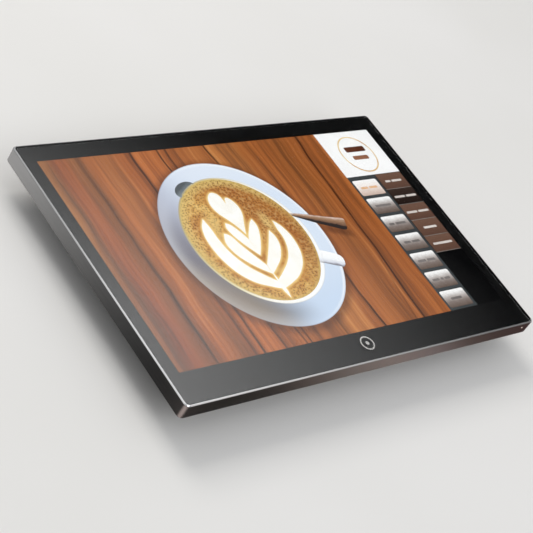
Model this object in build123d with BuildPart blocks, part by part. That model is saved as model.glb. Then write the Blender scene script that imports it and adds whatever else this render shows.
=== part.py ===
"""Point-of-sale touchscreen terminal head, in millimetres.

A thin aluminium slab carries a bonded cover glass over a 14 inch 16:9 display. A shallower plastic
housing on its back holds the computer, its connectors and a VESA 100 mount. The head lies on its back:
+Z points out of the screen, +Y to the top edge of the picture, and +X to the reader's right. The origin
is on the rear face, below the centre of the slab.
"""

import os

from build123d import *

os.makedirs("parts", exist_ok=True)

# ---------------------------------------------------------------- driving dimensions
WIDTH, HEIGHT = 332.4, 212.4  # slab outline
CORNER = 3.5  # slab corner radius
HUMP = 20.0  # depth of the rear housing
SLAB = 11.2  # height of the slab's side wall
FRONT = HUMP + SLAB

ACTIVE_W, ACTIVE_H = 309.4, 174.0  # the picture, 14 inch diagonal at 16:9
ACTIVE_Y = 5.2  # the picture sits above the slab's centre, which leaves a deep lower border

RIM = 1.1  # aluminium wall round the glass
RIM_CHAMFER = 0.7
BACK_ROUND = 0.5
EDGE_GAP = 0.25  # bead between rim and glass
GLASS_DROP = 0.1  # glass front below the rim
GLASS = 1.9
INK = 0.1
SENSOR = 0.3
CELL = 1.4
DIFFUSER = 0.6
GUIDE = 2.0
REFLECTOR = 0.2
SHEET = 0.6  # display back tray
FLOOR = 1.2  # slab floor

# Heights of the stack, from the glass down.
GLASS_TOP = FRONT - GLASS_DROP
GLASS_BACK = GLASS_TOP - GLASS
INK_BACK = GLASS_BACK - INK
SENSOR_BACK = INK_BACK - SENSOR
CELL_BACK = SENSOR_BACK - CELL
DIFFUSER_BACK = CELL_BACK - DIFFUSER
GUIDE_BACK = DIFFUSER_BACK - GUIDE
REFLECTOR_BACK = GUIDE_BACK - REFLECTOR
TRAY_BACK = REFLECTOR_BACK - SHEET
FLOOR_TOP = HUMP + FLOOR
FOAM = 0.8
LEDGE_TOP = INK_BACK - FOAM  # the glass is taped to this ledge
LEDGE = 6.3  # solid border of the slab under the ledge
CAVITY_W, CAVITY_H = WIDTH - 2 * LEDGE, HEIGHT - 2 * LEDGE

# Display module.
MODULE_X = 158.5
MODULE_BOTTOM, MODULE_TOP = -94.0, 95.5
MODULE_Y = (MODULE_BOTTOM + MODULE_TOP) / 2
MODULE_W, MODULE_H = 2 * MODULE_X, MODULE_TOP - MODULE_BOTTOM

# Rear housing.
COVER_W, COVER_H = 250.0, 132.0
COVER_Y = 6.0
COVER_CORNER = 14.0
COVER_ROUND = 4.0
WALL = 2.0
COVER_BOTTOM = COVER_Y - COVER_H / 2
COVER_TOP = COVER_Y + COVER_H / 2
COVER_X = COVER_W / 2
COVER_BOSSES = [(-115, -50), (115, -50), (-115, 62), (115, 62), (-36, 65), (36, 65)]
BOSS_R = 4.2
SCREW_R, HEAD_R = 1.5, 2.8  # M3
COUNTERBORE = 13.0

# Wall mount.
VESA = 100.0
VESA_R = 2.0  # M4
INSERT_R, INSERT_BODY_R, INSERT_DEPTH = 4.5, 3.5, 8.0
PLATE = 1.6

# Main board.
BOARD = 1.6
BOARD_BACK = 16.4
BOARD_TOP = BOARD_BACK + BOARD
BOARD_SCREWS = [(-103, -51), (-55, -52), (48.5, -52), (8, 13), (56, 12), (-78.5, 23)]
PORT_FACE = COVER_BOTTOM + 0.4  # mouths of the connectors, just inside the outer wall
USB_X = [-20, -3, 64, 80]
USB_C_X, DC_X, AUDIO_X, LAN_X, DRAWER_X = -36, -84, -70, 17, 36

# Side keys.
WALL_X = WIDTH / 2
KEY_Z = 25.2
KEY_POCKET_X = WALL_X - 2.8
KEY_POCKET_H = 4.8
POWER_Y, POWER_L = -70.0, 12.0
ROCKER_Y, ROCKER_L = -38.0, 26.0
KEY_H = 3.2
KEY_GAP = 0.2
KEY_FACE_X = WALL_X - 0.15
POWER_TRAVEL = 0.6
ROCKER_PIVOT_X = WALL_X - 3.55
ROCKER_PIN_R = 0.6
SWITCH_X = WALL_X - 4.8  # face of the switches
NUB_Y = 10.0  # from the rocker's pivot to each of its nubs

# Status light in the lower wall.
LIGHT_X, LIGHT_Z, LIGHT_R = 156.0, 26.6, 0.7

# Loudspeakers.
SPEAKER_X, SPEAKER_Y, SPEAKER_W, SPEAKER_H = 108.0, 43.4, 24.0, 28.0

# Blower.
FAN_X, FAN_Y = 85.0, -2.0
FAN_W, FAN_H = 42.0, 44.0
FAN_BACK, FAN_TOP = 4.4, 14.4
FAN_WALL = 1.0
FAN_CAVITY_R = 19.6
FAN_BLADE_R = 19.0
HUB_R = 8.0
SHAFT_R, BUSH_CLEARANCE = 1.0, 0.03


def keep(piece, name):
    """Labels a finished piece and writes it as its own node."""
    piece.part.label = name
    export_step(piece.part, f"parts/{name}.step")


def slab_outline(inset, corner):
    """Rounded rectangle of the slab's outline, drawn inset from its edge."""
    RectangleRounded(WIDTH - 2 * inset, HEIGHT - 2 * inset, corner)


# ---------------------------------------------------------------- slab
with BuildPart() as slab_housing:
    with BuildSketch(Plane.XY.offset(HUMP)):
        slab_outline(0, CORNER)
    extrude(amount=SLAB)
    chamfer(slab_housing.faces().sort_by(Axis.Z)[-1].edges(), RIM_CHAMFER)
    fillet(slab_housing.faces().sort_by(Axis.Z)[0].edges(), BACK_ROUND)
    # Pocket for the glass, then the cavity for the display.
    with BuildSketch(Plane.XY.offset(LEDGE_TOP)):
        slab_outline(RIM, CORNER - RIM)
    extrude(amount=FRONT - LEDGE_TOP, mode=Mode.SUBTRACT)
    with BuildSketch(Plane.XY.offset(FLOOR_TOP)):
        slab_outline(LEDGE, 2.0)
    extrude(amount=LEDGE_TOP - FLOOR_TOP, mode=Mode.SUBTRACT)
    # Window that the display cable drops through.
    with BuildSketch(Plane.XY.offset(HUMP)):
        with Locations((0, -48)):
            RectangleRounded(64, 14, 2)
    extrude(amount=FLOOR, mode=Mode.SUBTRACT)
    # Raised seats for the driver boards.
    with BuildSketch(Plane.XY.offset(FLOOR_TOP)):
        with Locations(*[(x, -86.5) for x in (-120, -60, 60, 120, 137, 149)]):
            Circle(2.2)
    extrude(amount=0.8)
    # Pockets and slots for the side keys.
    with BuildSketch(Plane.YZ.offset(WALL_X - LEDGE)):
        with Locations((POWER_Y, KEY_Z)):
            Rectangle(POWER_L + 6, KEY_POCKET_H)
        with Locations((ROCKER_Y, KEY_Z)):
            Rectangle(ROCKER_L + 4, KEY_POCKET_H)
    extrude(amount=KEY_POCKET_X - (WALL_X - LEDGE), mode=Mode.SUBTRACT)
    with BuildSketch(Plane.YZ.offset(KEY_POCKET_X)):
        with Locations((POWER_Y, KEY_Z)):
            SlotOverall(POWER_L + 2 * KEY_GAP, KEY_H + 2 * KEY_GAP)
        with Locations((ROCKER_Y, KEY_Z)):
            SlotOverall(ROCKER_L + 2 * KEY_GAP, KEY_H + 2 * KEY_GAP)
    extrude(amount=WALL_X - KEY_POCKET_X, mode=Mode.SUBTRACT)
    # Drilling for the rocker's pin, from the ledge into the floor.
    with BuildSketch(Plane.XY.offset(FLOOR_TOP + 0.6)):
        with Locations((ROCKER_PIVOT_X, ROCKER_Y)):
            Circle(ROCKER_PIN_R)
    extrude(amount=LEDGE_TOP - FLOOR_TOP - 0.6, mode=Mode.SUBTRACT)
    # Light pipe hole in the lower wall.
    with BuildSketch(Plane.XZ.offset(HEIGHT / 2 - LEDGE)):
        with Locations((LIGHT_X, LIGHT_Z)):
            Circle(LIGHT_R)
    extrude(amount=LEDGE, mode=Mode.SUBTRACT)
    # Threaded seats for the rear housing, the mount frame and the main board.
    with BuildSketch(Plane.XY.offset(HUMP)):
        with Locations(*COVER_BOSSES):
            Circle(SCREW_R)
        with Locations((0, 34)):
            with GridLocations(134, 20, 2, 2):
                Circle(SCREW_R)
    extrude(amount=FLOOR, mode=Mode.SUBTRACT)
keep(slab_housing, "slab_housing")

GLASS_INSET = RIM + EDGE_GAP
with BuildPart() as cover_glass:
    with BuildSketch(Plane.XY.offset(GLASS_BACK)):
        slab_outline(GLASS_INSET, CORNER - GLASS_INSET)
    extrude(amount=GLASS)
    chamfer(cover_glass.faces().sort_by(Axis.Z)[-1].edges(), 0.15)
keep(cover_glass, "cover_glass")

with BuildPart() as ink_border:
    with BuildSketch(Plane.XY.offset(INK_BACK)):
        slab_outline(GLASS_INSET, CORNER - GLASS_INSET)
        with Locations((0, ACTIVE_Y)):
            Rectangle(ACTIVE_W, ACTIVE_H, mode=Mode.SUBTRACT)
    extrude(amount=INK)
keep(ink_border, "ink_border")

with BuildPart() as edge_bead:
    with BuildSketch(Plane.XY.offset(LEDGE_TOP)):
        slab_outline(RIM, CORNER - RIM)
        RectangleRounded(
            WIDTH - 2 * GLASS_INSET, HEIGHT - 2 * GLASS_INSET, CORNER - GLASS_INSET, mode=Mode.SUBTRACT
        )
    extrude(amount=GLASS_TOP - 0.2 - LEDGE_TOP)
keep(edge_bead, "edge_bead")

FOAM_OUTER, FOAM_INNER = 2.2, 6.0
with BuildPart() as foam_tape:
    with BuildSketch(Plane.XY.offset(LEDGE_TOP)):
        slab_outline(FOAM_OUTER, 1.5)
        RectangleRounded(WIDTH - 2 * FOAM_INNER, HEIGHT - 2 * FOAM_INNER, 1.0, mode=Mode.SUBTRACT)
    extrude(amount=FOAM)
keep(foam_tape, "foam_tape")

with BuildPart() as touch_sensor:
    with BuildSketch(Plane.XY.offset(SENSOR_BACK)):
        with Locations((0, 2)):
            Rectangle(314, 184)
    extrude(amount=SENSOR)
keep(touch_sensor, "touch_sensor")

# Round mark inlaid on the lower border: a plain ring round a dot.
EMBLEM_Y = -92.0
with BuildPart() as border_mark:
    with BuildSketch(Plane.XY.offset(GLASS_TOP)):
        with Locations((0, EMBLEM_Y)):
            Circle(5.6)
            Circle(4.6, mode=Mode.SUBTRACT)
            Circle(1.5)
    extrude(amount=0.05)
keep(border_mark, "border_mark")

# ---------------------------------------------------------------- display module
with BuildPart() as display_tray:
    with BuildSketch(Plane.XY.offset(TRAY_BACK)):
        with Locations((0, MODULE_Y)):
            Rectangle(MODULE_W, MODULE_H)
    extrude(amount=SENSOR_BACK - 0.6 - TRAY_BACK)
    with BuildSketch(Plane.XY.offset(REFLECTOR_BACK)):
        with Locations((0, MODULE_Y)):
            Rectangle(MODULE_W - 2 * SHEET, MODULE_H - 2 * SHEET)
    extrude(amount=FRONT - REFLECTOR_BACK, mode=Mode.SUBTRACT)
keep(display_tray, "display_tray")

MOULD_BORDER = 3.0
LIGHT_BOTTOM = MODULE_BOTTOM + SHEET + MOULD_BORDER
LIGHT_TOP = MODULE_TOP - SHEET - MOULD_BORDER
LIGHT_W = MODULE_W - 2 * SHEET - 2 * MOULD_BORDER
with BuildPart() as mould_frame:
    with BuildSketch(Plane.XY.offset(REFLECTOR_BACK)):
        with Locations((0, MODULE_Y)):
            Rectangle(MODULE_W - 2 * SHEET, MODULE_H - 2 * SHEET)
            Rectangle(LIGHT_W, LIGHT_TOP - LIGHT_BOTTOM, mode=Mode.SUBTRACT)
    extrude(amount=CELL_BACK - REFLECTOR_BACK)
keep(mould_frame, "mould_frame")


def light_sheet(back, thickness, bottom_gap):
    """One sheet of the backlight, clear of the mould frame and of the lamp strip at its lower edge."""
    low = LIGHT_BOTTOM + bottom_gap
    high = LIGHT_TOP - 0.2
    with BuildPart() as sheet:
        with BuildSketch(Plane.XY.offset(back)):
            with Locations((0, (low + high) / 2)):
                Rectangle(LIGHT_W - 0.4, high - low)
        extrude(amount=thickness)
    return sheet


LAMP_DEPTH = 2.0
keep(light_sheet(REFLECTOR_BACK, REFLECTOR, 0.2), "reflector_sheet")
keep(light_sheet(GUIDE_BACK, GUIDE, LAMP_DEPTH + 0.6), "light_guide")
keep(light_sheet(DIFFUSER_BACK, DIFFUSER, 0.2), "diffuser_sheet")

with BuildPart() as lamp_strip:
    with BuildSketch(Plane.XY.offset(GUIDE_BACK)):
        with Locations((0, LIGHT_BOTTOM + 0.2 + LAMP_DEPTH / 2)):
            Rectangle(LIGHT_W - 6, LAMP_DEPTH)
    extrude(amount=GUIDE)
keep(lamp_strip, "lamp_strip")

with BuildPart() as display_cell:
    with BuildSketch(Plane.XY.offset(CELL_BACK)):
        with Locations((0, 1.25)):
            Rectangle(313, 184.5)
    extrude(amount=CELL)
keep(display_cell, "display_cell")
CELL_BOTTOM = 1.25 - 184.5 / 2

with BuildPart() as display_pads:
    with BuildSketch(Plane.XY.offset(FLOOR_TOP)):
        with Locations(*[(x, 18) for x in (-150, -75, 75, 150)]):
            Rectangle(8, 150)
    extrude(amount=TRAY_BACK - FLOOR_TOP)
keep(display_pads, "display_pads")

# Driver boards behind the lower edge of the display.
DRIVER_BACK = FLOOR_TOP + 0.8
DRIVER_TOP = DRIVER_BACK + 1.0
with BuildPart() as display_driver_board:
    with BuildSketch(Plane.XY.offset(DRIVER_BACK)):
        with Locations((0, -86.5)):
            Rectangle(250, 12)
    extrude(amount=DRIVER_TOP - DRIVER_BACK)
keep(display_driver_board, "display_driver_board")

with BuildPart() as touch_controller_board:
    with BuildSketch(Plane.XY.offset(DRIVER_BACK)):
        with Locations((143, -86.5)):
            Rectangle(22, 12)
    extrude(amount=DRIVER_TOP - DRIVER_BACK)
keep(touch_controller_board, "touch_controller_board")

FLEX = 0.2


def flex_strips(start_y, start_z, turn_y, width, xs):
    """Flat flexes that leave a sheet's lower edge, turn down and come back onto a driver board."""
    with BuildPart() as strips:
        for x in xs:
            with BuildSketch(Plane.YZ.offset(x - width / 2)):
                with Locations(((start_y + turn_y) / 2, start_z + FLEX / 2)):
                    Rectangle(start_y - turn_y, FLEX)
                with Locations((turn_y + FLEX / 2, (start_z + FLEX + DRIVER_TOP) / 2)):
                    Rectangle(FLEX, start_z + FLEX - DRIVER_TOP)
                with Locations(((turn_y - 89.5) / 2, DRIVER_TOP + FLEX / 2)):
                    Rectangle(-89.5 - turn_y, FLEX)
            extrude(amount=width)
    return strips


keep(flex_strips(CELL_BOTTOM, SENSOR_BACK - 0.4, -95.4, 24, (-105, -35, 35, 105)), "display_flexes")
keep(flex_strips(-90.0, SENSOR_BACK + 0.05, -96.8, 12, (143,)), "touch_flex")

# Ribbon from the display driver board, along the slab floor and down to the main board.
RIBBON = 0.3
RIBBON_W = 24.0
RIBBON_PATH = [
    (-84.0, DRIVER_TOP + RIBBON / 2),
    (-74.0, DRIVER_TOP + RIBBON / 2),
    (-70.0, FLOOR_TOP + 0.4),
    (-53.5, FLOOR_TOP + 0.4),
    (-48.5, BOARD_TOP + 0.5),
    (-42.5, BOARD_TOP + 0.5),
]
with BuildPart() as display_ribbon:
    with BuildSketch(Plane.YZ.offset(-RIBBON_W / 2)):
        with BuildLine():
            FilletPolyline(*RIBBON_PATH, radius=1.5)
        trace(line_width=RIBBON)
    extrude(amount=RIBBON_W)
keep(display_ribbon, "display_ribbon")

# ---------------------------------------------------------------- side keys and status light
PLUNGER_R = 1.2
with BuildPart() as power_button:
    with BuildSketch(Plane.YZ.offset(KEY_POCKET_X - 1.0)):
        with Locations((POWER_Y, KEY_Z)):
            Rectangle(POWER_L + 3, KEY_POCKET_H - 0.4)
    extrude(amount=0.9)
    with BuildSketch(Plane.YZ.offset(KEY_POCKET_X - 0.1)):
        with Locations((POWER_Y, KEY_Z)):
            SlotOverall(POWER_L, KEY_H)
    extrude(amount=KEY_FACE_X - KEY_POCKET_X + 0.1)
    fillet(power_button.faces().sort_by(Axis.X)[-1].edges(), 0.3)
    # Plunger that enters the switch.
    with BuildSketch(Plane.YZ.offset(SWITCH_X - 0.4)):
        with Locations((POWER_Y, KEY_Z)):
            Circle(PLUNGER_R)
    extrude(amount=KEY_POCKET_X - 1.0 - SWITCH_X + 0.4)
keep(power_button, "power_button")

SWITCH_BACK = WALL_X - 7.0
with BuildPart() as power_switch:
    with BuildSketch(Plane.YZ.offset(SWITCH_BACK)):
        with Locations((POWER_Y, KEY_Z)):
            Rectangle(6, 4.2)
    extrude(amount=SWITCH_X - SWITCH_BACK)
    with BuildSketch(Plane.YZ.offset(SWITCH_X - 1.4)):
        with Locations((POWER_Y, KEY_Z)):
            Circle(PLUNGER_R + 0.1)
    extrude(amount=1.4, mode=Mode.SUBTRACT)
keep(power_switch, "power_switch")

with BuildPart() as volume_rocker:
    with BuildSketch(Plane.YZ.offset(ROCKER_PIVOT_X - 0.9)):
        with Locations((ROCKER_Y, KEY_Z)):
            Rectangle(8, KEY_POCKET_H - 0.4)
    extrude(amount=1.5)
    with BuildSketch(Plane.YZ.offset(ROCKER_PIVOT_X + 0.2)):
        with Locations((ROCKER_Y, KEY_Z)):
            SlotOverall(ROCKER_L, KEY_H)
    extrude(amount=KEY_FACE_X - ROCKER_PIVOT_X - 0.2)
    fillet(volume_rocker.faces().sort_by(Axis.X)[-1].edges(), 0.3)
    # Nubs that reach the two switches.
    with BuildSketch(Plane.YZ.offset(SWITCH_X + 0.55)):
        with Locations((ROCKER_Y - NUB_Y, KEY_Z), (ROCKER_Y + NUB_Y, KEY_Z)):
            Circle(1.0)
    extrude(amount=ROCKER_PIVOT_X + 0.2 - SWITCH_X - 0.55)
    # Groove between the two ends, and the bore for the pin.
    with BuildSketch(Plane.XY.offset(KEY_Z - KEY_H / 2)):
        with Locations((KEY_FACE_X, ROCKER_Y)):
            Rectangle(0.5, 1.0)
    extrude(amount=KEY_H, mode=Mode.SUBTRACT)
    with BuildSketch(Plane.XY.offset(FLOOR_TOP)):
        with Locations((ROCKER_PIVOT_X, ROCKER_Y)):
            Circle(ROCKER_PIN_R + BUSH_CLEARANCE)
    extrude(amount=SLAB, mode=Mode.SUBTRACT)
keep(volume_rocker, "volume_rocker")

with BuildPart() as rocker_pin:
    with BuildSketch(Plane.XY.offset(FLOOR_TOP + 0.6)):
        with Locations((ROCKER_PIVOT_X, ROCKER_Y)):
            Circle(ROCKER_PIN_R)
    extrude(amount=LEDGE_TOP - 0.1 - FLOOR_TOP - 0.6)
keep(rocker_pin, "rocker_pin")

with BuildPart() as volume_switches:
    with BuildSketch(Plane.YZ.offset(SWITCH_BACK)):
        with Locations((ROCKER_Y - NUB_Y, KEY_Z), (ROCKER_Y + NUB_Y, KEY_Z)):
            Rectangle(6, 4.2)
    extrude(amount=SWITCH_X - SWITCH_BACK)
    with BuildSketch(Plane.YZ.offset(SWITCH_X)):
        with Locations((ROCKER_Y - NUB_Y, KEY_Z), (ROCKER_Y + NUB_Y, KEY_Z)):
            Circle(1.1)
    extrude(amount=0.2)
keep(volume_switches, "volume_switches")

with BuildPart() as side_key_board:
    with BuildSketch(Plane.YZ.offset(SWITCH_BACK - 0.5)):
        with Locations(((POWER_Y + ROCKER_Y) / 2, KEY_Z)):
            Rectangle(62, KEY_POCKET_H - 0.4)
    extrude(amount=0.5)
keep(side_key_board, "side_key_board")

with BuildPart() as status_light_pipe:
    with BuildSketch(Plane.XZ.offset(HEIGHT / 2 - LEDGE - 0.5)):
        with Locations((LIGHT_X, LIGHT_Z)):
            Circle(LIGHT_R)
    extrude(amount=LEDGE + 0.45)
keep(status_light_pipe, "status_light_pipe")

with BuildPart() as status_light_board:
    with BuildSketch(Plane.XZ.offset(HEIGHT / 2 - LEDGE - 1.6)):
        with Locations((LIGHT_X - 2, LIGHT_Z - 1.5)):
            Rectangle(9, 6)
    extrude(amount=1.1)
keep(status_light_board, "status_light_board")

# ---------------------------------------------------------------- rear housing
PORT_CUTS = (
    [(x, 13.5, BOARD_BACK - 3.0, 6.1) for x in USB_X]
    + [(USB_C_X, 9.4, BOARD_BACK - 1.8, 3.7)]
    + [(DC_X, 9.4, BOARD_BACK - 5.5, 11.4), (AUDIO_X, 6.9, BOARD_BACK - 2.7, 5.7)]
    + [(LAN_X, 16.3, BOARD_BACK - 5.5, 11.3), (DRAWER_X, 13.6, BOARD_BACK - 5.5, 11.3)]
)
DOOR_X, DOOR_Y, DOOR_W, DOOR_H = -90.0, -8.0, 44.0, 72.0
DOOR_THICK = 1.6
DOOR_SCREW = (DOOR_X, DOOR_Y + DOOR_H / 2 - 3.2)
LABEL_Y, LABEL_W, LABEL_H, LABEL_RECESS = -14.0, 64.0, 26.0, 0.4
LOCK_Y, LOCK_Z, LOCK_L, LOCK_H = -36.0, 10.0, 7.0, 3.2

with BuildPart() as rear_cover:
    with BuildSketch():
        with Locations((0, COVER_Y)):
            RectangleRounded(COVER_W, COVER_H, COVER_CORNER)
    extrude(amount=HUMP)
    fillet(rear_cover.faces().sort_by(Axis.Z)[0].edges(), COVER_ROUND)
    with BuildSketch(Plane.XY.offset(WALL)):
        with Locations((0, COVER_Y)):
            RectangleRounded(COVER_W - 2 * WALL, COVER_H - 2 * WALL, COVER_CORNER - WALL)
    extrude(amount=HUMP - WALL, mode=Mode.SUBTRACT)
    # Screw bosses, and the rib that the service door rests on.
    with BuildSketch(Plane.XY.offset(WALL)):
        with Locations(*COVER_BOSSES):
            Circle(BOSS_R)
    extrude(amount=HUMP - WALL)
    with BuildSketch(Plane.XY.offset(WALL)):
        with Locations((DOOR_X, DOOR_Y)):
            Rectangle(DOOR_W + 2, DOOR_H + 2)
    extrude(amount=WALL)
    with BuildSketch():
        with Locations(*COVER_BOSSES):
            Circle(HEAD_R + 0.4)
    extrude(amount=COUNTERBORE, mode=Mode.SUBTRACT)
    with BuildSketch():
        with Locations(*COVER_BOSSES):
            Circle(SCREW_R + 0.2)
    extrude(amount=HUMP, mode=Mode.SUBTRACT)
    # Door recess and the opening behind it. Its upper bar stays, for the door's screw.
    with BuildSketch():
        with Locations((DOOR_X, DOOR_Y)):
            RectangleRounded(DOOR_W, DOOR_H, 2)
    extrude(amount=DOOR_THICK, mode=Mode.SUBTRACT)
    with BuildSketch():
        with Locations((DOOR_X, DOOR_Y - 2)):
            Rectangle(DOOR_W - 6, DOOR_H - 10)
    extrude(amount=2 * WALL, mode=Mode.SUBTRACT)
    with BuildSketch():
        with Locations(DOOR_SCREW):
            Circle(1.25)
    extrude(amount=2 * WALL, mode=Mode.SUBTRACT)
    # Mount inserts, rating plate recess.
    with BuildSketch():
        with Locations((0, COVER_Y)):
            with GridLocations(VESA, VESA, 2, 2):
                Circle(INSERT_R)
    extrude(amount=WALL, mode=Mode.SUBTRACT)
    with BuildSketch():
        with Locations((0, LABEL_Y)):
            RectangleRounded(LABEL_W, LABEL_H, 1.5)
    extrude(amount=LABEL_RECESS, mode=Mode.SUBTRACT)
    # Air intake behind the blower, and a finer field of slots above the board.
    with BuildSketch():
        with Locations((FAN_X, FAN_Y)):
            with GridLocations(4.6, 0, 8, 1):
                SlotOverall(30, 2.2, rotation=90)
        with Locations((0, 30)):
            with GridLocations(5.0, 0, 13, 1):
                SlotOverall(16, 1.8, rotation=90)
        with Locations((-SPEAKER_X, SPEAKER_Y), (SPEAKER_X, SPEAKER_Y)):
            with GridLocations(3.6, 3.6, 5, 6):
                Circle(0.9)
    extrude(amount=WALL, mode=Mode.SUBTRACT)
    # Exhaust slots beside the fins, and slots in the upper wall.
    with BuildSketch(Plane.YZ.offset(COVER_X - WALL)):
        with Locations((0, 9.6)):
            with GridLocations(4.4, 0, 9, 1):
                SlotOverall(9, 2.0, rotation=90)
    extrude(amount=WALL, mode=Mode.SUBTRACT)
    with BuildSketch(Plane.XZ.offset(-COVER_TOP)):
        with Locations((0, 11)):
            with GridLocations(5.0, 0, 11, 1):
                SlotOverall(9, 2.0, rotation=90)
    extrude(amount=WALL, mode=Mode.SUBTRACT)
    # Connector cut-outs in the lower wall.
    with BuildSketch(Plane.XZ.offset(-COVER_BOTTOM - WALL)):
        for x, cut_w, cut_z, cut_h in PORT_CUTS:
            with Locations((x, cut_z)):
                RectangleRounded(cut_w, cut_h, 0.6)
    extrude(amount=WALL, mode=Mode.SUBTRACT)
    # Lock slot in the left wall.
    with BuildSketch(Plane.YZ.offset(-COVER_X)):
        with Locations((LOCK_Y, LOCK_Z)):
            RectangleRounded(LOCK_L, LOCK_H, 0.6)
    extrude(amount=WALL, mode=Mode.SUBTRACT)
keep(rear_cover, "rear_cover")

with BuildPart() as service_door:
    with BuildSketch():
        with Locations((DOOR_X, DOOR_Y)):
            RectangleRounded(DOOR_W - 0.4, DOOR_H - 0.4, 1.8)
    extrude(amount=DOOR_THICK)
    with Locations((*DOOR_SCREW, 0)):
        CounterBoreHole(1.35, 2.5, 0.9, depth=DOOR_THICK)
    # Finger scoop at the lower edge.
    with BuildSketch():
        with Locations((DOOR_X, DOOR_Y - DOOR_H / 2 + 4.5)):
            SlotOverall(14, 3.6)
    extrude(amount=0.7, mode=Mode.SUBTRACT)
keep(service_door, "service_door")


def screw(head_low, head_high, tip, head_r, shank_r):
    """Screw along Z whose head faces down, with a cross recess in the head."""
    with BuildPart() as one:
        with BuildSketch(Plane.XY.offset(head_low)):
            Circle(head_r)
        extrude(amount=head_high - head_low)
        with BuildSketch(Plane.XY.offset(head_high)):
            Circle(shank_r)
        extrude(amount=tip - head_high)
        with BuildSketch(Plane.XY.offset(head_low)):
            Rectangle(head_r * 1.1, head_r * 0.25)
            Rectangle(head_r * 0.25, head_r * 1.1)
        extrude(amount=(head_high - head_low) * 0.5, mode=Mode.SUBTRACT)
    return one.part


def screw_group(one, places):
    """A group of equal screws, one solid each."""
    with BuildPart() as group:
        with Locations(*places):
            add(one)
    return group


door_screw = screw(0.1, 0.9, 3.9, 2.4, 1.25)
keep(screw_group(door_screw, [DOOR_SCREW]), "service_door_screw")

housing_screw = screw(COUNTERBORE - 2.0, COUNTERBORE, FLOOR_TOP - 0.1, HEAD_R, SCREW_R)
keep(screw_group(housing_screw, COVER_BOSSES), "rear_cover_screws")

with BuildPart() as rating_plate:
    with BuildSketch(Plane.XY.offset(0.1)):
        with Locations((0, LABEL_Y)):
            RectangleRounded(LABEL_W - 0.4, LABEL_H - 0.4, 1.3)
    extrude(amount=LABEL_RECESS - 0.1)
keep(rating_plate, "rating_plate")

with BuildPart() as lock_plate:
    with BuildSketch(Plane.YZ.offset(-COVER_X + WALL)):
        with Locations((LOCK_Y, LOCK_Z)):
            Rectangle(16, 10)
            RectangleRounded(LOCK_L, LOCK_H, 0.6, mode=Mode.SUBTRACT)
    extrude(amount=1.5)
keep(lock_plate, "lock_plate")

# ---------------------------------------------------------------- wall mount
FRAME_X = 62.0
FRAME_LOW, FRAME_HIGH = COVER_Y - 60, COVER_Y + 54.5
LEG_LOW, LEG_HIGH = 18.0, 50.0
with BuildPart() as mount_frame:
    with BuildSketch(Plane.XY.offset(WALL)):
        with Locations((0, (FRAME_LOW + FRAME_HIGH) / 2)):
            RectangleRounded(2 * FRAME_X, FRAME_HIGH - FRAME_LOW, 4)
        with Locations((0, COVER_Y)):
            RectangleRounded(80, 84, 6, mode=Mode.SUBTRACT)
            with GridLocations(VESA, VESA, 2, 2):
                Circle(INSERT_BODY_R, mode=Mode.SUBTRACT)
    extrude(amount=PLATE)
    for side in (-1, 1):
        # Leg from the plate to the slab floor, with a foot turned outwards.
        with BuildSketch(Plane.XY.offset(WALL + PLATE)):
            with Locations((side * (FRAME_X - 0.75), (LEG_LOW + LEG_HIGH) / 2)):
                Rectangle(1.5, LEG_HIGH - LEG_LOW)
        extrude(amount=HUMP - WALL - PLATE)
        with BuildSketch(Plane.XY.offset(HUMP - 1.5)):
            with Locations((side * (FRAME_X + 5), (LEG_LOW + LEG_HIGH) / 2)):
                Rectangle(10, LEG_HIGH - LEG_LOW)
                with GridLocations(0, 20, 1, 2):
                    Circle(SCREW_R, mode=Mode.SUBTRACT)
        extrude(amount=1.5)
keep(mount_frame, "mount_frame")

with BuildPart() as mount_inserts:
    with BuildSketch():
        with Locations((0, COVER_Y)):
            with GridLocations(VESA, VESA, 2, 2):
                Circle(INSERT_R)
    extrude(amount=WALL)
    with BuildSketch(Plane.XY.offset(WALL)):
        with Locations((0, COVER_Y)):
            with GridLocations(VESA, VESA, 2, 2):
                Circle(INSERT_BODY_R)
    extrude(amount=INSERT_DEPTH - WALL)
    with BuildSketch():
        with Locations((0, COVER_Y)):
            with GridLocations(VESA, VESA, 2, 2):
                Circle(VESA_R)
    extrude(amount=INSERT_DEPTH - 1.0, mode=Mode.SUBTRACT)
keep(mount_inserts, "mount_inserts")

FOOT_SCREWS = [(x, y) for x in (-67, 67) for y in (24, 44)]
foot_screw = screw(HUMP - 3.5, HUMP - 1.5, FLOOR_TOP - 0.1, HEAD_R, SCREW_R)
keep(screw_group(foot_screw, FOOT_SCREWS), "mount_frame_screws")

# ---------------------------------------------------------------- main board
with BuildPart() as main_board:
    with BuildSketch(Plane.XY.offset(BOARD_BACK)):
        with BuildLine():
            Polyline(
                (-108, -57.5), (92, -57.5), (92, -34), (60, -34), (60, 17),
                (-74, 17), (-74, 28.5), (-112, 28.5), (-112, -44), (-108, -44), close=True,
            )
        make_face()
        with Locations(*BOARD_SCREWS):
            Circle(SCREW_R, mode=Mode.SUBTRACT)
    extrude(amount=BOARD)
keep(main_board, "main_board")

with BuildPart() as board_standoffs:
    with BuildSketch(Plane.XY.offset(BOARD_TOP)):
        with Locations(*BOARD_SCREWS):
            Circle(3.0)
            Circle(SCREW_R, mode=Mode.SUBTRACT)
    extrude(amount=HUMP - BOARD_TOP)
keep(board_standoffs, "board_standoffs")

board_screw = screw(BOARD_BACK - 1.8, BOARD_BACK, HUMP - 0.2, 2.5, SCREW_R)
keep(screw_group(board_screw, BOARD_SCREWS), "board_screws")

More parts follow.
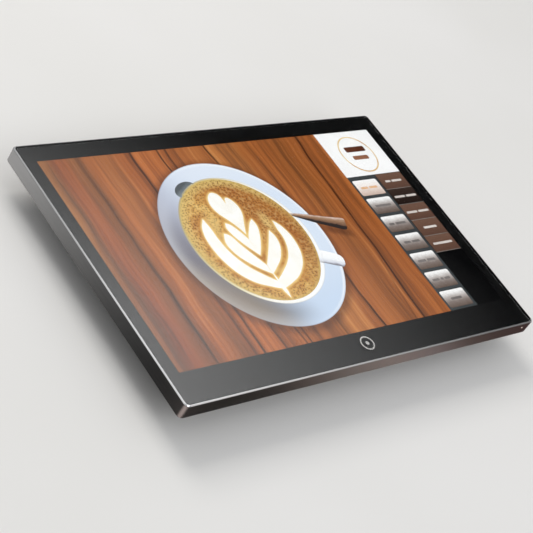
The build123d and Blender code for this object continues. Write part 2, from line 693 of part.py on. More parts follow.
with BuildPart() as processor:
    with BuildSketch(Plane.XY.offset(BOARD_BACK - 0.8)):
        with Locations((21, -14)):
            Rectangle(26, 26)
    extrude(amount=0.8)
    with BuildSketch(Plane.XY.offset(BOARD_BACK - 1.2)):
        with Locations((21, -14)):
            Rectangle(14, 12)
    extrude(amount=0.4)
keep(processor, "processor")

MEMORY_X, MEMORY_Y, MEMORY_L = -96.0, -8.0, 69.6
with BuildPart() as memory_module:
    with BuildSketch(Plane.XY.offset(BOARD_BACK - 3.2)):
        with Locations((MEMORY_X, MEMORY_Y)):
            Rectangle(30, MEMORY_L)
            with Locations((-3, MEMORY_L / 2), (-3, -MEMORY_L / 2)):
                Circle(0.9, mode=Mode.SUBTRACT)
    extrude(amount=1.2)
    with BuildSketch(Plane.XY.offset(BOARD_BACK - 4.2)):
        with Locations((MEMORY_X - 2, MEMORY_Y)):
            with GridLocations(0, 15.5, 1, 4):
                Rectangle(13, 11)
    extrude(amount=1.0)
keep(memory_module, "memory_module")

STORAGE_X, STORAGE_Y = -38.0, 4.0
with BuildPart() as storage_module:
    with BuildSketch(Plane.XY.offset(BOARD_BACK - 2.8)):
        with Locations((STORAGE_X, STORAGE_Y)):
            Rectangle(80, 22)
    extrude(amount=0.8)
    with BuildSketch(Plane.XY.offset(BOARD_BACK - 4.2)):
        with Locations((STORAGE_X - 20, STORAGE_Y), (STORAGE_X + 8, STORAGE_Y)):
            Rectangle(18, 14)
    extrude(amount=1.4)
keep(storage_module, "storage_module")

RADIO_X, RADIO_Y = -64.0, -24.0
RADIO_BACK = BOARD_BACK - 2.8
with BuildPart() as wireless_module:
    with BuildSketch(Plane.XY.offset(RADIO_BACK)):
        with Locations((RADIO_X, RADIO_Y)):
            Rectangle(22, 28)
    extrude(amount=0.8)
    with BuildSketch(Plane.XY.offset(RADIO_BACK - 1.4)):
        with Locations((RADIO_X, RADIO_Y - 2)):
            Rectangle(17, 16)
    extrude(amount=1.4)
keep(wireless_module, "wireless_module")

CLOCK_X, CLOCK_Y = -26.0, -26.0
with BuildPart() as clock_battery:
    with BuildSketch(Plane.XY.offset(BOARD_BACK - 4.4)):
        with Locations((CLOCK_X, CLOCK_Y)):
            Circle(9.8)
    extrude(amount=3.2)
    chamfer(clock_battery.faces().sort_by(Axis.Z)[0].edges(), 0.4)
keep(clock_battery, "clock_battery")

with BuildPart() as board_components:
    # Card sockets and the battery holder.
    with BuildSketch(Plane.XY.offset(BOARD_BACK - 1.9)):
        with Locations((MEMORY_X + 12, MEMORY_Y)):
            Rectangle(5, 67)
        with Locations((STORAGE_X + 36, STORAGE_Y)):
            Rectangle(5, 20)
        with Locations((RADIO_X, RADIO_Y - 11)):
            Rectangle(20, 4)
    extrude(amount=1.9)
    with BuildSketch(Plane.XY.offset(BOARD_BACK - 1.2)):
        with Locations((CLOCK_X, CLOCK_Y)):
            Circle(10.4)
    extrude(amount=1.2)
    # Power coils and capacitors.
    with BuildSketch(Plane.XY.offset(BOARD_BACK - 4.0)):
        with Locations((47, 2)):
            with GridLocations(0, 9, 1, 3):
                RectangleRounded(7, 7, 1)
    extrude(amount=4.0)
    with BuildSketch(Plane.XY.offset(BOARD_BACK - 3.0)):
        with Locations((71, -39)):
            with GridLocations(7, 0, 5, 1):
                Circle(2.2)
    extrude(amount=3.0)
keep(board_components, "board_components")

# ---------------------------------------------------------------- connectors
with BuildPart() as usb_ports:
    with BuildSketch(Plane.XZ.offset(-PORT_FACE - 14)):
        with Locations(*[(x, BOARD_BACK - 2.9) for x in USB_X]):
            RectangleRounded(13.1, 5.7, 0.4)
    extrude(amount=14)
    with BuildSketch(Plane.XZ.offset(-PORT_FACE - 12)):
        with Locations(*[(x, BOARD_BACK - 2.9) for x in USB_X]):
            Rectangle(12.5, 5.1)
    extrude(amount=12, mode=Mode.SUBTRACT)
    with BuildSketch(Plane.XZ.offset(-PORT_FACE - 12)):
        with Locations(*[(x, BOARD_BACK - 1.7) for x in USB_X]):
            Rectangle(11.0, 1.8)
    extrude(amount=11)
keep(usb_ports, "usb_ports")

with BuildPart() as usb_c_port:
    with BuildSketch(Plane.XZ.offset(-PORT_FACE - 9)):
        with Locations((USB_C_X, BOARD_BACK - 1.7)):
            SlotOverall(9.0, 3.3)
    extrude(amount=9)
    with BuildSketch(Plane.XZ.offset(-PORT_FACE - 7)):
        with Locations((USB_C_X, BOARD_BACK - 1.7)):
            SlotOverall(8.4, 2.6)
    extrude(amount=7, mode=Mode.SUBTRACT)
    with BuildSketch(Plane.XZ.offset(-PORT_FACE - 7)):
        with Locations((USB_C_X, BOARD_BACK - 1.7)):
            Rectangle(6.7, 0.8)
    extrude(amount=6)
keep(usb_c_port, "usb_c_port")

PLUG_R, PIN_R = 2.75, 0.8
with BuildPart() as power_inlet:
    with BuildSketch(Plane.XZ.offset(-PORT_FACE - 14)):
        with Locations((DC_X, BOARD_BACK - 5.5)):
            Rectangle(9, 11)
    extrude(amount=14)
    with BuildSketch(Plane.XZ.offset(-PORT_FACE - 10)):
        with Locations((DC_X, BOARD_BACK - 5.5)):
            Circle(PLUG_R)
    extrude(amount=10, mode=Mode.SUBTRACT)
    with BuildSketch(Plane.XZ.offset(-PORT_FACE - 10)):
        with Locations((DC_X, BOARD_BACK - 5.5)):
            Circle(PIN_R)
    extrude(amount=9)
keep(power_inlet, "power_inlet")

AUDIO_R = 1.8
with BuildPart() as audio_jack:
    with BuildSketch(Plane.XZ.offset(-PORT_FACE - 12)):
        with Locations((AUDIO_X, BOARD_BACK - 2.6)):
            Rectangle(6.5, 5.2)
    extrude(amount=12)
    with BuildSketch(Plane.XZ.offset(-PORT_FACE - 11)):
        with Locations((AUDIO_X, BOARD_BACK - 2.6)):
            Circle(AUDIO_R)
    extrude(amount=11, mode=Mode.SUBTRACT)
keep(audio_jack, "audio_jack")


def modular_jack(x, body_w, mouth_w, contacts):
    """Modular jack: body, plug mouth, the notch for the plug's latch and a row of contact wires."""
    centre_z = BOARD_BACK - 5.5
    with BuildPart() as jack:
        with BuildSketch(Plane.XZ.offset(-PORT_FACE - 15)):
            with Locations((x, centre_z)):
                Rectangle(body_w, 11)
        extrude(amount=15)
        with BuildSketch(Plane.XZ.offset(-PORT_FACE - 12.5)):
            with Locations((x, centre_z + 0.6)):
                Rectangle(mouth_w, 7.2)
            with Locations((x, centre_z - 3.2)):
                Rectangle(6.2, 2.0)
        extrude(amount=12.5, mode=Mode.SUBTRACT)
        with BuildSketch(Plane.XZ.offset(-PORT_FACE - 12.5)):
            with Locations((x, centre_z + 3.8)):
                with GridLocations(1.02, 0, contacts, 1):
                    Rectangle(0.45, 0.8)
        extrude(amount=11)
    return jack


keep(modular_jack(LAN_X, 15.9, 11.8, 8), "network_port")
keep(modular_jack(DRAWER_X, 13.2, 9.8, 6), "cash_drawer_port")

# ---------------------------------------------------------------- cooling
CPU = (21, -14)
PIPE_LOW, PIPE_HIGH = 10.2, 13.2
with BuildPart() as cold_plate:
    with BuildSketch(Plane.XY.offset(PIPE_HIGH)):
        with Locations(CPU):
            RectangleRounded(30, 30, 2)
    extrude(amount=BOARD_BACK - 1.2 - PIPE_HIGH)
keep(cold_plate, "cold_plate")

with BuildPart() as heat_pipe:
    with BuildSketch(Plane.XY.offset(PIPE_LOW)):
        with BuildLine():
            FilletPolyline((8, -14), (42, -14), (57, -30), (108, -30), (117, -21), (117, 16), radius=6)
        trace(line_width=8)
    extrude(amount=PIPE_HIGH - PIPE_LOW)
keep(heat_pipe, "heat_pipe")

FIN_LOW, FIN_X, FIN_LEN = 4.6, 114.0, 14.0
with BuildPart() as fin_stack:
    with BuildSketch(Plane.XY.offset(PIPE_LOW - 0.4)):
        with Locations((FIN_X, 0)):
            Rectangle(FIN_LEN, 40)
    extrude(amount=0.4)
    with BuildSketch(Plane.XY.offset(FIN_LOW)):
        with Locations((FIN_X, 0)):
            with GridLocations(0, 1.99, 1, 20):
                Rectangle(FIN_LEN, 0.5)
    extrude(amount=PIPE_LOW - 0.4 - FIN_LOW)
keep(fin_stack, "fin_stack")

with BuildPart() as fan_housing:
    with BuildSketch(Plane.XY.offset(FAN_BACK)):
        with Locations((FAN_X, FAN_Y)):
            RectangleRounded(FAN_W, FAN_H, 4)
    extrude(amount=FAN_TOP - FAN_WALL - FAN_BACK)
    with BuildSketch(Plane.XY.offset(FAN_BACK + FAN_WALL)):
        with Locations((FAN_X, FAN_Y)):
            Circle(FAN_CAVITY_R)
        with Locations((FAN_X + FAN_W / 4 + 0.5, FAN_Y)):
            Rectangle(FAN_W / 2 + 1, 2 * FAN_CAVITY_R - 3)
    extrude(amount=FAN_TOP - FAN_BACK, mode=Mode.SUBTRACT)
    with BuildSketch(Plane.XY.offset(FAN_BACK)):
        with Locations((FAN_X, FAN_Y)):
            Circle(14)
    extrude(amount=FAN_WALL, mode=Mode.SUBTRACT)
keep(fan_housing, "fan_housing")

ROTOR_LOW, ROTOR_HIGH = FAN_BACK + FAN_WALL + 0.6, FAN_TOP - FAN_WALL - 0.6
with BuildPart() as fan_lid:
    with BuildSketch(Plane.XY.offset(FAN_TOP - FAN_WALL)):
        with Locations((FAN_X, FAN_Y)):
            RectangleRounded(FAN_W, FAN_H, 4)
    extrude(amount=FAN_WALL)
    # Shaft that the rotor turns on.
    with BuildSketch(Plane.XY.offset(ROTOR_LOW + 0.4)):
        with Locations((FAN_X, FAN_Y)):
            Circle(SHAFT_R)
    extrude(amount=FAN_TOP - FAN_WALL - ROTOR_LOW - 0.4)
keep(fan_lid, "fan_lid")

BLADES = 17
with BuildPart() as fan_rotor:
    with BuildSketch(Plane.XY.offset(ROTOR_LOW)):
        with Locations((FAN_X, FAN_Y)):
            Circle(HUB_R)
            Circle(SHAFT_R + BUSH_CLEARANCE, mode=Mode.SUBTRACT)
            with PolarLocations((HUB_R + FAN_BLADE_R) / 2 - 0.4, BLADES):
                Rectangle(FAN_BLADE_R - HUB_R + 0.4, 0.8, rotation=22)
    extrude(amount=ROTOR_HIGH - ROTOR_LOW)
keep(fan_rotor, "fan_rotor")

# ---------------------------------------------------------------- sound and radio
with BuildPart() as speakers:
    with BuildSketch(Plane.XY.offset(WALL)):
        with Locations((-SPEAKER_X, SPEAKER_Y), (SPEAKER_X, SPEAKER_Y)):
            RectangleRounded(SPEAKER_W, SPEAKER_H, 3)
    extrude(amount=12)
    # Ring groove round each cone.
    with BuildSketch(Plane.XY.offset(WALL)):
        with Locations((-SPEAKER_X, SPEAKER_Y), (SPEAKER_X, SPEAKER_Y)):
            RectangleRounded(18, 23, 7)
            RectangleRounded(13, 18, 5, mode=Mode.SUBTRACT)
    extrude(amount=1.2, mode=Mode.SUBTRACT)
keep(speakers, "speakers")

ANTENNA_X, ANTENNA_Y = 75.0, 68.8
LEAD_R = 0.6
LEAD_Z = 11.0
LEAD_START = RADIO_Y + 11
LEAD_ROUTES = {
    -1: [(RADIO_X - 5, LEAD_START), (RADIO_X - 5, 58), (-ANTENNA_X, ANTENNA_Y)],
    1: [(RADIO_X + 5, LEAD_START), (RADIO_X + 5, 56.5), (64, 56.5), (ANTENNA_X, ANTENNA_Y)],
}
with BuildPart() as antennas:
    for side, route in LEAD_ROUTES.items():
        with BuildSketch(Plane.XY.offset(7)):
            with Locations((side * ANTENNA_X, ANTENNA_Y)):
                Rectangle(34, 1.0)
        extrude(amount=9)
        # Snap-on connector at the radio, then the lead.
        with BuildSketch(Plane.XY.offset(LEAD_Z)):
            with Locations(route[0]):
                Circle(1.1)
        extrude(amount=RADIO_BACK - LEAD_Z)
        with BuildLine():
            FilletPolyline(*[(x, y, LEAD_Z) for x, y in route], radius=5)
        with BuildSketch(Plane((*route[0], LEAD_Z), z_dir=(0, 1, 0))):
            Circle(LEAD_R)
        sweep()
keep(antennas, "antennas")
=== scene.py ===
"""Looks of the point-of-sale touchscreen head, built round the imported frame."""

import math

import bmesh
import bpy
from mathutils import Matrix, Vector


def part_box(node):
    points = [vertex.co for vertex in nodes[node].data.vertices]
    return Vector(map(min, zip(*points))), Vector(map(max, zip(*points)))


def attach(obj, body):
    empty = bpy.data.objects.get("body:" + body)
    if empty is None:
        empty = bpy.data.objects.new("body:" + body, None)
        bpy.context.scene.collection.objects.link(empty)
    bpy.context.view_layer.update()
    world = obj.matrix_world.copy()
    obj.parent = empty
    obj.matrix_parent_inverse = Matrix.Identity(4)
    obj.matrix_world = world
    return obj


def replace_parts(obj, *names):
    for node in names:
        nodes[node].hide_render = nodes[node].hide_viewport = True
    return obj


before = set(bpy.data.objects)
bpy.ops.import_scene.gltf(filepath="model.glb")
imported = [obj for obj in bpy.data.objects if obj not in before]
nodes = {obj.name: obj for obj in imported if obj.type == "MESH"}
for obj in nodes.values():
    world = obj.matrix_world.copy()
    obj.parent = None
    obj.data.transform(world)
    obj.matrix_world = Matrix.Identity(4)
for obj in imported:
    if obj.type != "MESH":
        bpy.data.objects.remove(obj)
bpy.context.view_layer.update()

MM = 0.001
HEAD = "head"
RIM_DEPTH = 0.6 * MM  # how far down the chamfer is cut bright
SCREEN_GLOW = 1.17  # emission strength of the lit picture
PHOTO_WIDTH, FOCAL = 533, 1594.7  # pixels


# ---------------------------------------------------------------- colours and node trees
def srgb(red, green, blue):
    """Linear colour of an 8-bit display colour."""
    def lift(value):
        value /= 255
        return value / 12.92 if value <= 0.04045 else ((value + 0.055) / 1.055) ** 2.4
    return (lift(red), lift(green), lift(blue), 1.0)


class Tree:
    """Short names for the shader nodes of one material."""

    def __init__(self, name):
        self.material = bpy.data.materials.new(name)
        self.material.use_nodes = True
        self.tree = self.material.node_tree
        self.tree.nodes.clear()
        self.output = self.new("ShaderNodeOutputMaterial")
        self.place = self.new("ShaderNodeTexCoord").outputs["Object"]

    def new(self, kind, **settings):
        node = self.tree.nodes.new(kind)
        for key, value in settings.items():
            setattr(node, key, value)
        return node

    def feed(self, socket, value):
        if isinstance(value, bpy.types.NodeSocket):
            self.tree.links.new(value, socket)
        else:
            socket.default_value = value

    def math(self, operation, first, second=0.0, third=0.0, clamp=False):
        node = self.new("ShaderNodeMath", operation=operation, use_clamp=clamp)
        for socket, value in zip(node.inputs, (first, second, third)):
            self.feed(socket, value)
        return node.outputs[0]

    def split(self, vector):
        node = self.new("ShaderNodeSeparateXYZ")
        self.feed(node.inputs[0], vector)
        return node.outputs

    def join(self, x, y, z=0.0):
        node = self.new("ShaderNodeCombineXYZ")
        for socket, value in zip(node.inputs, (x, y, z)):
            self.feed(socket, value)
        return node.outputs[0]

    def scaled(self, vector, factors):
        node = self.new("ShaderNodeVectorMath", operation="MULTIPLY")
        self.feed(node.inputs[0], vector)
        node.inputs[1].default_value = factors
        return node.outputs[0]

    def noise(self, vector, scale, detail=3.0, rough=0.5, warp=0.0):
        node = self.new("ShaderNodeTexNoise")
        self.feed(node.inputs["Vector"], vector)
        node.inputs["Scale"].default_value = scale
        node.inputs["Detail"].default_value = detail
        node.inputs["Roughness"].default_value = rough
        node.inputs["Distortion"].default_value = warp
        return node.outputs["Fac"]

    def cells(self, vector, scale, feature="F1", randomness=1.0, flat=False):
        node = self.new("ShaderNodeTexVoronoi", feature=feature, voronoi_dimensions="2D" if flat else "3D")
        self.feed(node.inputs["Vector"], vector)
        node.inputs["Scale"].default_value = scale
        node.inputs["Randomness"].default_value = randomness
        return node.outputs["Distance"]

    def span(self, value, low, high, new_low=0.0, new_high=1.0, smooth=True):
        """Maps low..high to new_low..new_high, clamped."""
        node = self.new("ShaderNodeMapRange", interpolation_type="SMOOTHSTEP" if smooth else "LINEAR")
        for key, item in zip(("Value", "From Min", "From Max", "To Min", "To Max"),
                             (value, low, high, new_low, new_high)):
            self.feed(node.inputs[key], item)
        return node.outputs["Result"]

    def mix(self, factor, first, second, blend="MIX"):
        """Mixes two colours. A mix node also has sockets for numbers and vectors, so only the colour ones are used."""
        node = self.new("ShaderNodeMix", data_type="RGBA", blend_type=blend)
        self.feed(node.inputs[0], factor)
        low, high = [socket for socket in node.inputs if socket.type == "RGBA"]
        self.feed(low, first)
        self.feed(high, second)
        return [socket for socket in node.outputs if socket.type == "RGBA"][0]

    def ramp(self, factor, *stops):
        node = self.new("ShaderNodeValToRGB")
        self.feed(node.inputs[0], factor)
        elements = node.color_ramp.elements
        while len(elements) < len(stops):
            elements.new(0.5)
        for element, (position, colour) in zip(elements, stops):
            element.position = position
            element.color = colour
        return node.outputs[0]

    def bump(self, height, distance, strength=1.0):
        node = self.new("ShaderNodeBump")
        node.inputs["Strength"].default_value = strength
        node.inputs["Distance"].default_value = distance
        self.feed(node.inputs["Height"], height)
        return node.outputs[0]

    def surface(self, **sockets):
        """Ends the material in one Principled shader. Socket names are given with underscores."""
        shader = self.new("ShaderNodeBsdfPrincipled")
        for key, value in sockets.items():
            self.feed(shader.inputs[key.replace("_", " ")], value)
        self.tree.links.new(shader.outputs[0], self.output.inputs[0])
        return self.material


# ---------------------------------------------------------------- materials
def plastic(name, colour, rough=0.5, grain=0.35, depth=0.02, tint=0.12):
    """Moulded plastic: fine spark-eroded texture, with slow changes of tone and gloss."""
    t = Tree(name)
    fine = t.noise(t.place, 1 / (grain * MM), 2.0, 0.6)
    slow = t.noise(t.place, 60.0, 3.0)
    tone = t.mix(t.span(slow, 0.3, 0.7), colour, tuple(min(1, c * (1 + 2 * tint)) for c in colour[:3]) + (1,))
    gloss = t.math("ADD", t.span(fine, 0.3, 0.7, rough - 0.06, rough + 0.06), t.math("MULTIPLY", slow, 0.05))
    return t.surface(Base_Color=tone, Roughness=gloss, Normal=t.bump(fine, depth * MM, 0.6))


def metal(name, colour, rough=0.3, brush=(1, 1, 40), grain=0.5, spread=0.08, turn=0.0):
    """Drawn or ground metal: fine streaks along one direction."""
    t = Tree(name)
    streak = t.noise(t.scaled(t.place, brush), 1 / (grain * MM) / max(brush), 4.0, 0.65)
    slow = t.noise(t.place, 45.0, 2.0)
    dark = tuple(c * 0.82 for c in colour[:3]) + (1,)
    tone = t.mix(t.span(streak, 0.3, 0.7), dark, colour)
    gloss = t.math("ADD", t.span(streak, 0.3, 0.7, rough - spread, rough + spread),
                   t.span(slow, 0.3, 0.7, -0.03, 0.03))
    return t.surface(Base_Color=tone, Metallic=1.0, Roughness=gloss, Anisotropic=turn,
                     Normal=t.bump(streak, 0.004 * MM, 0.5))


def circuit(name, colour, copper):
    """Solder mask over copper: faint tracks, pads and a fine weave of glass cloth."""
    t = Tree(name)
    x, y, z = t.split(t.place)
    track = t.cells(t.join(t.math("SNAP", x, 1.2 * MM), y, z), 260.0, "DISTANCE_TO_EDGE")
    pads = t.cells(t.place, 420.0)
    weave = t.math("MULTIPLY", t.math("SINE", t.math("MULTIPLY", x, 9000.0)),
                   t.math("SINE", t.math("MULTIPLY", y, 9000.0)))
    lit = tuple(min(1, c * 1.7 + 0.01) for c in colour[:3]) + (1,)
    tone = t.mix(t.span(track, 0.05, 0.09), lit, colour)
    tone = t.mix(t.span(pads, 0.12, 0.1), tone, copper)
    return t.surface(Base_Color=tone, Roughness=t.span(weave, -1, 1, 0.32, 0.42),
                     Normal=t.bump(weave, 0.004 * MM, 0.4))


def foam(name, colour):
    """Closed-cell foam or soft rubber: open pores over a matte skin, with painted shade darkening the pores."""
    t = Tree(name)
    pores = t.cells(t.place, 2200.0)
    # painted shade: the centre of each pore is darkened to half the colour
    tone = t.mix(t.span(pores, 0.15, 0.5), tuple(c * 0.5 for c in colour[:3]) + (1,), colour)
    return t.surface(Base_Color=tone, Roughness=t.span(pores, 0.1, 0.6, 0.98, 0.8),
                     Normal=t.bump(pores, 0.05 * MM, 0.7))


def film(name, colour, rough=0.35):
    """Smooth plastic film or sheet with a faint mottle."""
    t = Tree(name)
    mottle = t.noise(t.place, 320.0, 3.0)
    dark = tuple(c * 0.88 for c in colour[:3]) + (1,)
    return t.surface(Base_Color=t.mix(t.span(mottle, 0.35, 0.65), dark, colour),
                     Roughness=t.span(mottle, 0.3, 0.7, rough - 0.05, rough + 0.08))


def clear(name, colour, ior, rough=0.0):
    """Clear glass or plastic, with the faintest unevenness in its gloss."""
    t = Tree(name)
    haze = t.noise(t.place, 70.0, 3.0)
    return t.surface(Base_Color=colour, Transmission_Weight=1.0, IOR=ior,
                     Roughness=t.span(haze, 0.35, 0.65, rough, rough + 0.02))


def anodised(name):
    """Dark anodised slab: brushed along its walls, with a diamond-cut chamfer round the front."""
    t = Tree(name)
    x, y, z = t.split(t.place)
    up = t.math("ABSOLUTE", t.split(t.new("ShaderNodeNewGeometry").outputs["Normal"])[2])
    walls = t.noise(t.scaled(t.place, (30, 30, 4200)), 1.0, 4.0, 0.7)
    back = t.noise(t.scaled(t.place, (30, 4200, 30)), 1.0, 4.0, 0.7)
    flat = t.span(up, 0.85, 0.95)
    brush = t.math("ADD", t.math("MULTIPLY", walls, t.math("SUBTRACT", 1.0, flat)), t.math("MULTIPLY", back, flat))
    rim_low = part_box("slab_housing")[1].z - RIM_DEPTH
    cut = t.math("MULTIPLY", t.span(z, rim_low, rim_low + 0.06 * MM), t.span(up, 0.3, 0.5))
    body = t.mix(t.span(brush, 0.3, 0.7), srgb(108, 107, 106), srgb(126, 125, 124))
    tone = t.mix(cut, body, srgb(205, 205, 205))
    gloss = t.math("ADD", t.span(brush, 0.3, 0.7, 0.3, 0.42), t.math("MULTIPLY", cut, -0.2))
    return t.surface(Base_Color=tone, Metallic=0.93, Roughness=gloss, Anisotropic=0.5,
                     Normal=t.bump(brush, 0.003 * MM, 0.35))


def lamp(name, colour, strength):
    """Milky acrylic with light behind it."""
    t = Tree(name)
    haze = t.noise(t.place, 2500.0, 2.0)
    glow = t.mix(t.span(haze, 0.3, 0.7), tuple(c * 0.8 for c in colour[:3]) + (1,), colour)
    return t.surface(Base_Color=colour, Roughness=t.span(haze, 0.3, 0.7, 0.2, 0.3),
                     Emission_Color=glow, Emission_Strength=strength)


def lit(tree, colour, strength=SCREEN_GLOW):
    """A lit part of the picture: it only shines."""
    return tree.surface(Base_Color=(0.0008, 0.0008, 0.0008, 1), Roughness=0.6, Specular_IOR_Level=0.0,
                        Emission_Color=colour, Emission_Strength=strength)


LOOKS = {
    "slab_housing": anodised("dark_anodised_aluminium"),
    "cover_glass": clear("clear_cover_glass", (0.97, 0.98, 0.98, 1), 1.5),
    "edge_bead": foam("black_bead", srgb(14, 14, 15)),
    "foam_tape": foam("black_foam", srgb(28, 28, 30)),
    "display_pads": foam("grey_pad_foam", srgb(60, 60, 64)),
    "touch_sensor": clear("clear_sensor_film", (0.98, 0.98, 0.98, 1), 1.03),
    "border_mark": metal("mark_foil", srgb(236, 235, 232), 0.3, (60, 1, 1)),
    "display_cell": film("dark_display_cell", srgb(12, 12, 14), 0.3),
    "display_tray": metal("tray_steel", srgb(176, 178, 180), 0.38, (40, 1, 1)),
    "mould_frame": plastic("white_mould_plastic", srgb(226, 226, 222), 0.5),
    "reflector_sheet": film("white_reflector_film", srgb(240, 240, 236)),
    "diffuser_sheet": film("white_diffuser_film", srgb(232, 234, 236), 0.5),
    "light_guide": film("light_guide_acrylic", srgb(214, 224, 228), 0.12),
    "lamp_strip": plastic("lamp_strip_white", srgb(240, 226, 150), 0.45, 2.0),
    "power_button": metal("power_key_aluminium", srgb(104, 99, 98), 0.32, (1, 1, 60)),
    "volume_rocker": metal("volume_key_aluminium", srgb(104, 99, 98), 0.32, (1, 1, 60)),
    "rocker_pin": metal("pin_steel", srgb(196, 196, 198), 0.2, (1, 1, 30)),
    "power_switch": plastic("switch_black_a", srgb(20, 20, 21), 0.42),
    "volume_switches": plastic("switch_black_b", srgb(20, 20, 21), 0.42),
    "rear_cover": plastic("rear_cover_plastic", srgb(38, 38, 40), 0.52, 0.4, 0.03),
    "service_door": plastic("service_door_plastic", srgb(41, 41, 43), 0.5, 0.4, 0.03),
    "rating_plate": film("rating_plate_film", srgb(176, 178, 180), 0.4),
    "lock_plate": metal("lock_steel", srgb(150, 151, 153), 0.35, (1, 40, 1)),
    "mount_frame": plastic("black_powder_coat", srgb(44, 44, 47), 0.55, 0.8, 0.03),
    "mount_inserts": metal("insert_brass", srgb(206, 172, 104), 0.3, (1, 1, 40)),
    "board_standoffs": metal("standoff_brass", srgb(206, 172, 104), 0.3, (1, 1, 40)),
    "main_board": circuit("main_board_mask", srgb(16, 62, 38), srgb(196, 160, 92)),
    "display_driver_board": circuit("display_board_mask", srgb(18, 70, 44), srgb(196, 160, 92)),
    "touch_controller_board": circuit("touch_board_mask", srgb(18, 70, 44), srgb(196, 160, 92)),
    "side_key_board": circuit("key_board_mask", srgb(18, 70, 44), srgb(196, 160, 92)),
    "status_light_board": circuit("light_board_mask", srgb(18, 70, 44), srgb(196, 160, 92)),
    "memory_module": circuit("memory_mask", srgb(14, 58, 34), srgb(196, 160, 92)),
    "storage_module": circuit("storage_mask", srgb(16, 30, 58), srgb(196, 160, 92)),
    "processor": film("processor_package", srgb(34, 60, 44), 0.3),
    "wireless_module": metal("radio_can", srgb(178, 178, 174), 0.34, (30, 1, 1)),
    "clock_battery": metal("cell_steel", srgb(196, 196, 198), 0.24, (30, 30, 1)),
    "board_components": plastic("component_epoxy", srgb(30, 30, 32), 0.45),
    "display_flexes": film("display_flex_film", srgb(168, 100, 36), 0.3),
    "touch_flex": film("touch_flex_film", srgb(168, 100, 36), 0.3),
    "display_ribbon": film("ribbon_film", srgb(196, 196, 192), 0.4),
    "usb_ports": metal("usb_shell_steel", srgb(186, 187, 190), 0.28, (1, 40, 1)),
    "usb_c_port": metal("usb_c_shell_steel", srgb(186, 187, 190), 0.26, (1, 40, 1)),
    "power_inlet": plastic("inlet_black", srgb(20, 20, 21), 0.4),
    "audio_jack": plastic("audio_black", srgb(22, 22, 23), 0.4),
    "network_port": plastic("network_jack_black", srgb(30, 30, 32), 0.38),
    "cash_drawer_port": plastic("drawer_jack_black", srgb(30, 30, 32), 0.38),
    "cold_plate": metal("cold_plate_copper", srgb(196, 118, 84), 0.3, (40, 1, 1)),
    "heat_pipe": metal("heat_pipe_copper", srgb(190, 112, 78), 0.32, (40, 1, 1)),
    "fin_stack": metal("fin_aluminium", srgb(200, 202, 204), 0.34, (40, 1, 1)),
    "fan_housing": plastic("fan_housing_black", srgb(22, 22, 23), 0.5),
    "fan_rotor": plastic("fan_rotor_black", srgb(24, 24, 26), 0.42),
    "fan_lid": metal("fan_lid_steel", srgb(160, 161, 163), 0.4, (40, 1, 1)),
    "speakers": plastic("speaker_black", srgb(26, 26, 27), 0.55),
    "antennas": film("antenna_film", srgb(40, 40, 42), 0.4),
    "status_light_pipe": lamp("light_pipe_acrylic", srgb(255, 238, 226), 0.55),
}
for screws in ("rear_cover_screws", "service_door_screw", "mount_frame_screws", "board_screws"):
    LOOKS[screws] = metal(f"{screws}_zinc", srgb(70, 70, 74), 0.3, (1, 1, 30))

for name, material in LOOKS.items():
    slots = nodes[name].data.materials
    if len(slots):
        for index in range(len(slots)):
            nodes[name].material_slots[index].material = material
    else:
        slots.append(material)


# ---------------------------------------------------------------- thin layers of the picture
CELL_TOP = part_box("display_cell")[1].z
ACTIVE_W, ACTIVE_H = 309.4 * MM, 174.0 * MM
PICTURE_Y = 5.2 * MM  # the picture's centre above the slab's
LAYER = 0.012 * MM
GAP = 0.006 * MM


def oval(x, y, radius_x, radius_y, count=160):
    turns = [2 * math.pi * i / count for i in range(count)]
    return [(x + radius_x * math.cos(a), y + radius_y * math.sin(a)) for a in turns]


def rounded(left, low, right, high, radius=0.0, steps=6):
    """Outline of a rectangle with rounded corners, anticlockwise."""
    if radius <= 0:
        return [(left, low), (right, low), (right, high), (left, high)]
    corners = [(right - radius, low + radius, -90), (right - radius, high - radius, 0),
               (left + radius, high - radius, 90), (left + radius, low + radius, 180)]
    outline = []
    for x, y, start in corners:
        for step in range(steps + 1):
            a = math.radians(start + 90 * step / steps)
            outline.append((x + radius * math.cos(a), y + radius * math.sin(a)))
    return outline


def through(points, samples=14):
    """Open smooth curve through the points."""
    padded = [points[0]] + list(points) + [points[-1]]
    curve = []
    for a, b, c, d in zip(padded, padded[1:], padded[2:], padded[3:]):
        for step in range(samples):
            s = step / samples
            curve.append(tuple(
                0.5 * (2 * q + (r - p) * s + (2 * p - 5 * q + 4 * r - u) * s * s + (3 * q - p - 3 * r + u) * s ** 3)
                for p, q, r, u in zip(a, b, c, d)))
    curve.append(tuple(points[-1]))
    return curve


def leaf(*edges):
    """Closed outline from smooth edges that meet in sharp tips."""
    outline = []
    for edge in edges:
        outline += through(edge)[:-1]
    return outline


def as_outline(points):
    """Millimetres from the picture's centre, to metres in the row frame."""
    return [(x * MM, y * MM + PICTURE_Y) for x, y in points]


def prism(name, outlines, low, thickness, material, body=HEAD):
    """Thin closed plates, one for each outline."""
    mesh = bpy.data.meshes.new(name)
    bm = bmesh.new()
    for outline in outlines:
        ring = [bm.verts.new((x, y, low + thickness)) for x, y in outline]
        top = bm.faces.new(ring)
        if top.normal.z < 0 or area_of(outline) < 0:
            top.normal_flip()
        extruded = bmesh.ops.extrude_face_region(bm, geom=[top])
        moved = [item for item in extruded["geom"] if isinstance(item, bmesh.types.BMVert)]
        bmesh.ops.translate(bm, verts=moved, vec=(0, 0, -thickness))
    bmesh.ops.triangulate(bm, faces=bm.faces[:], ngon_method="EAR_CLIP")
    bmesh.ops.recalc_face_normals(bm, faces=bm.faces[:])
    bm.to_mesh(mesh)
    bm.free()
    return finished(name, mesh, material, body)


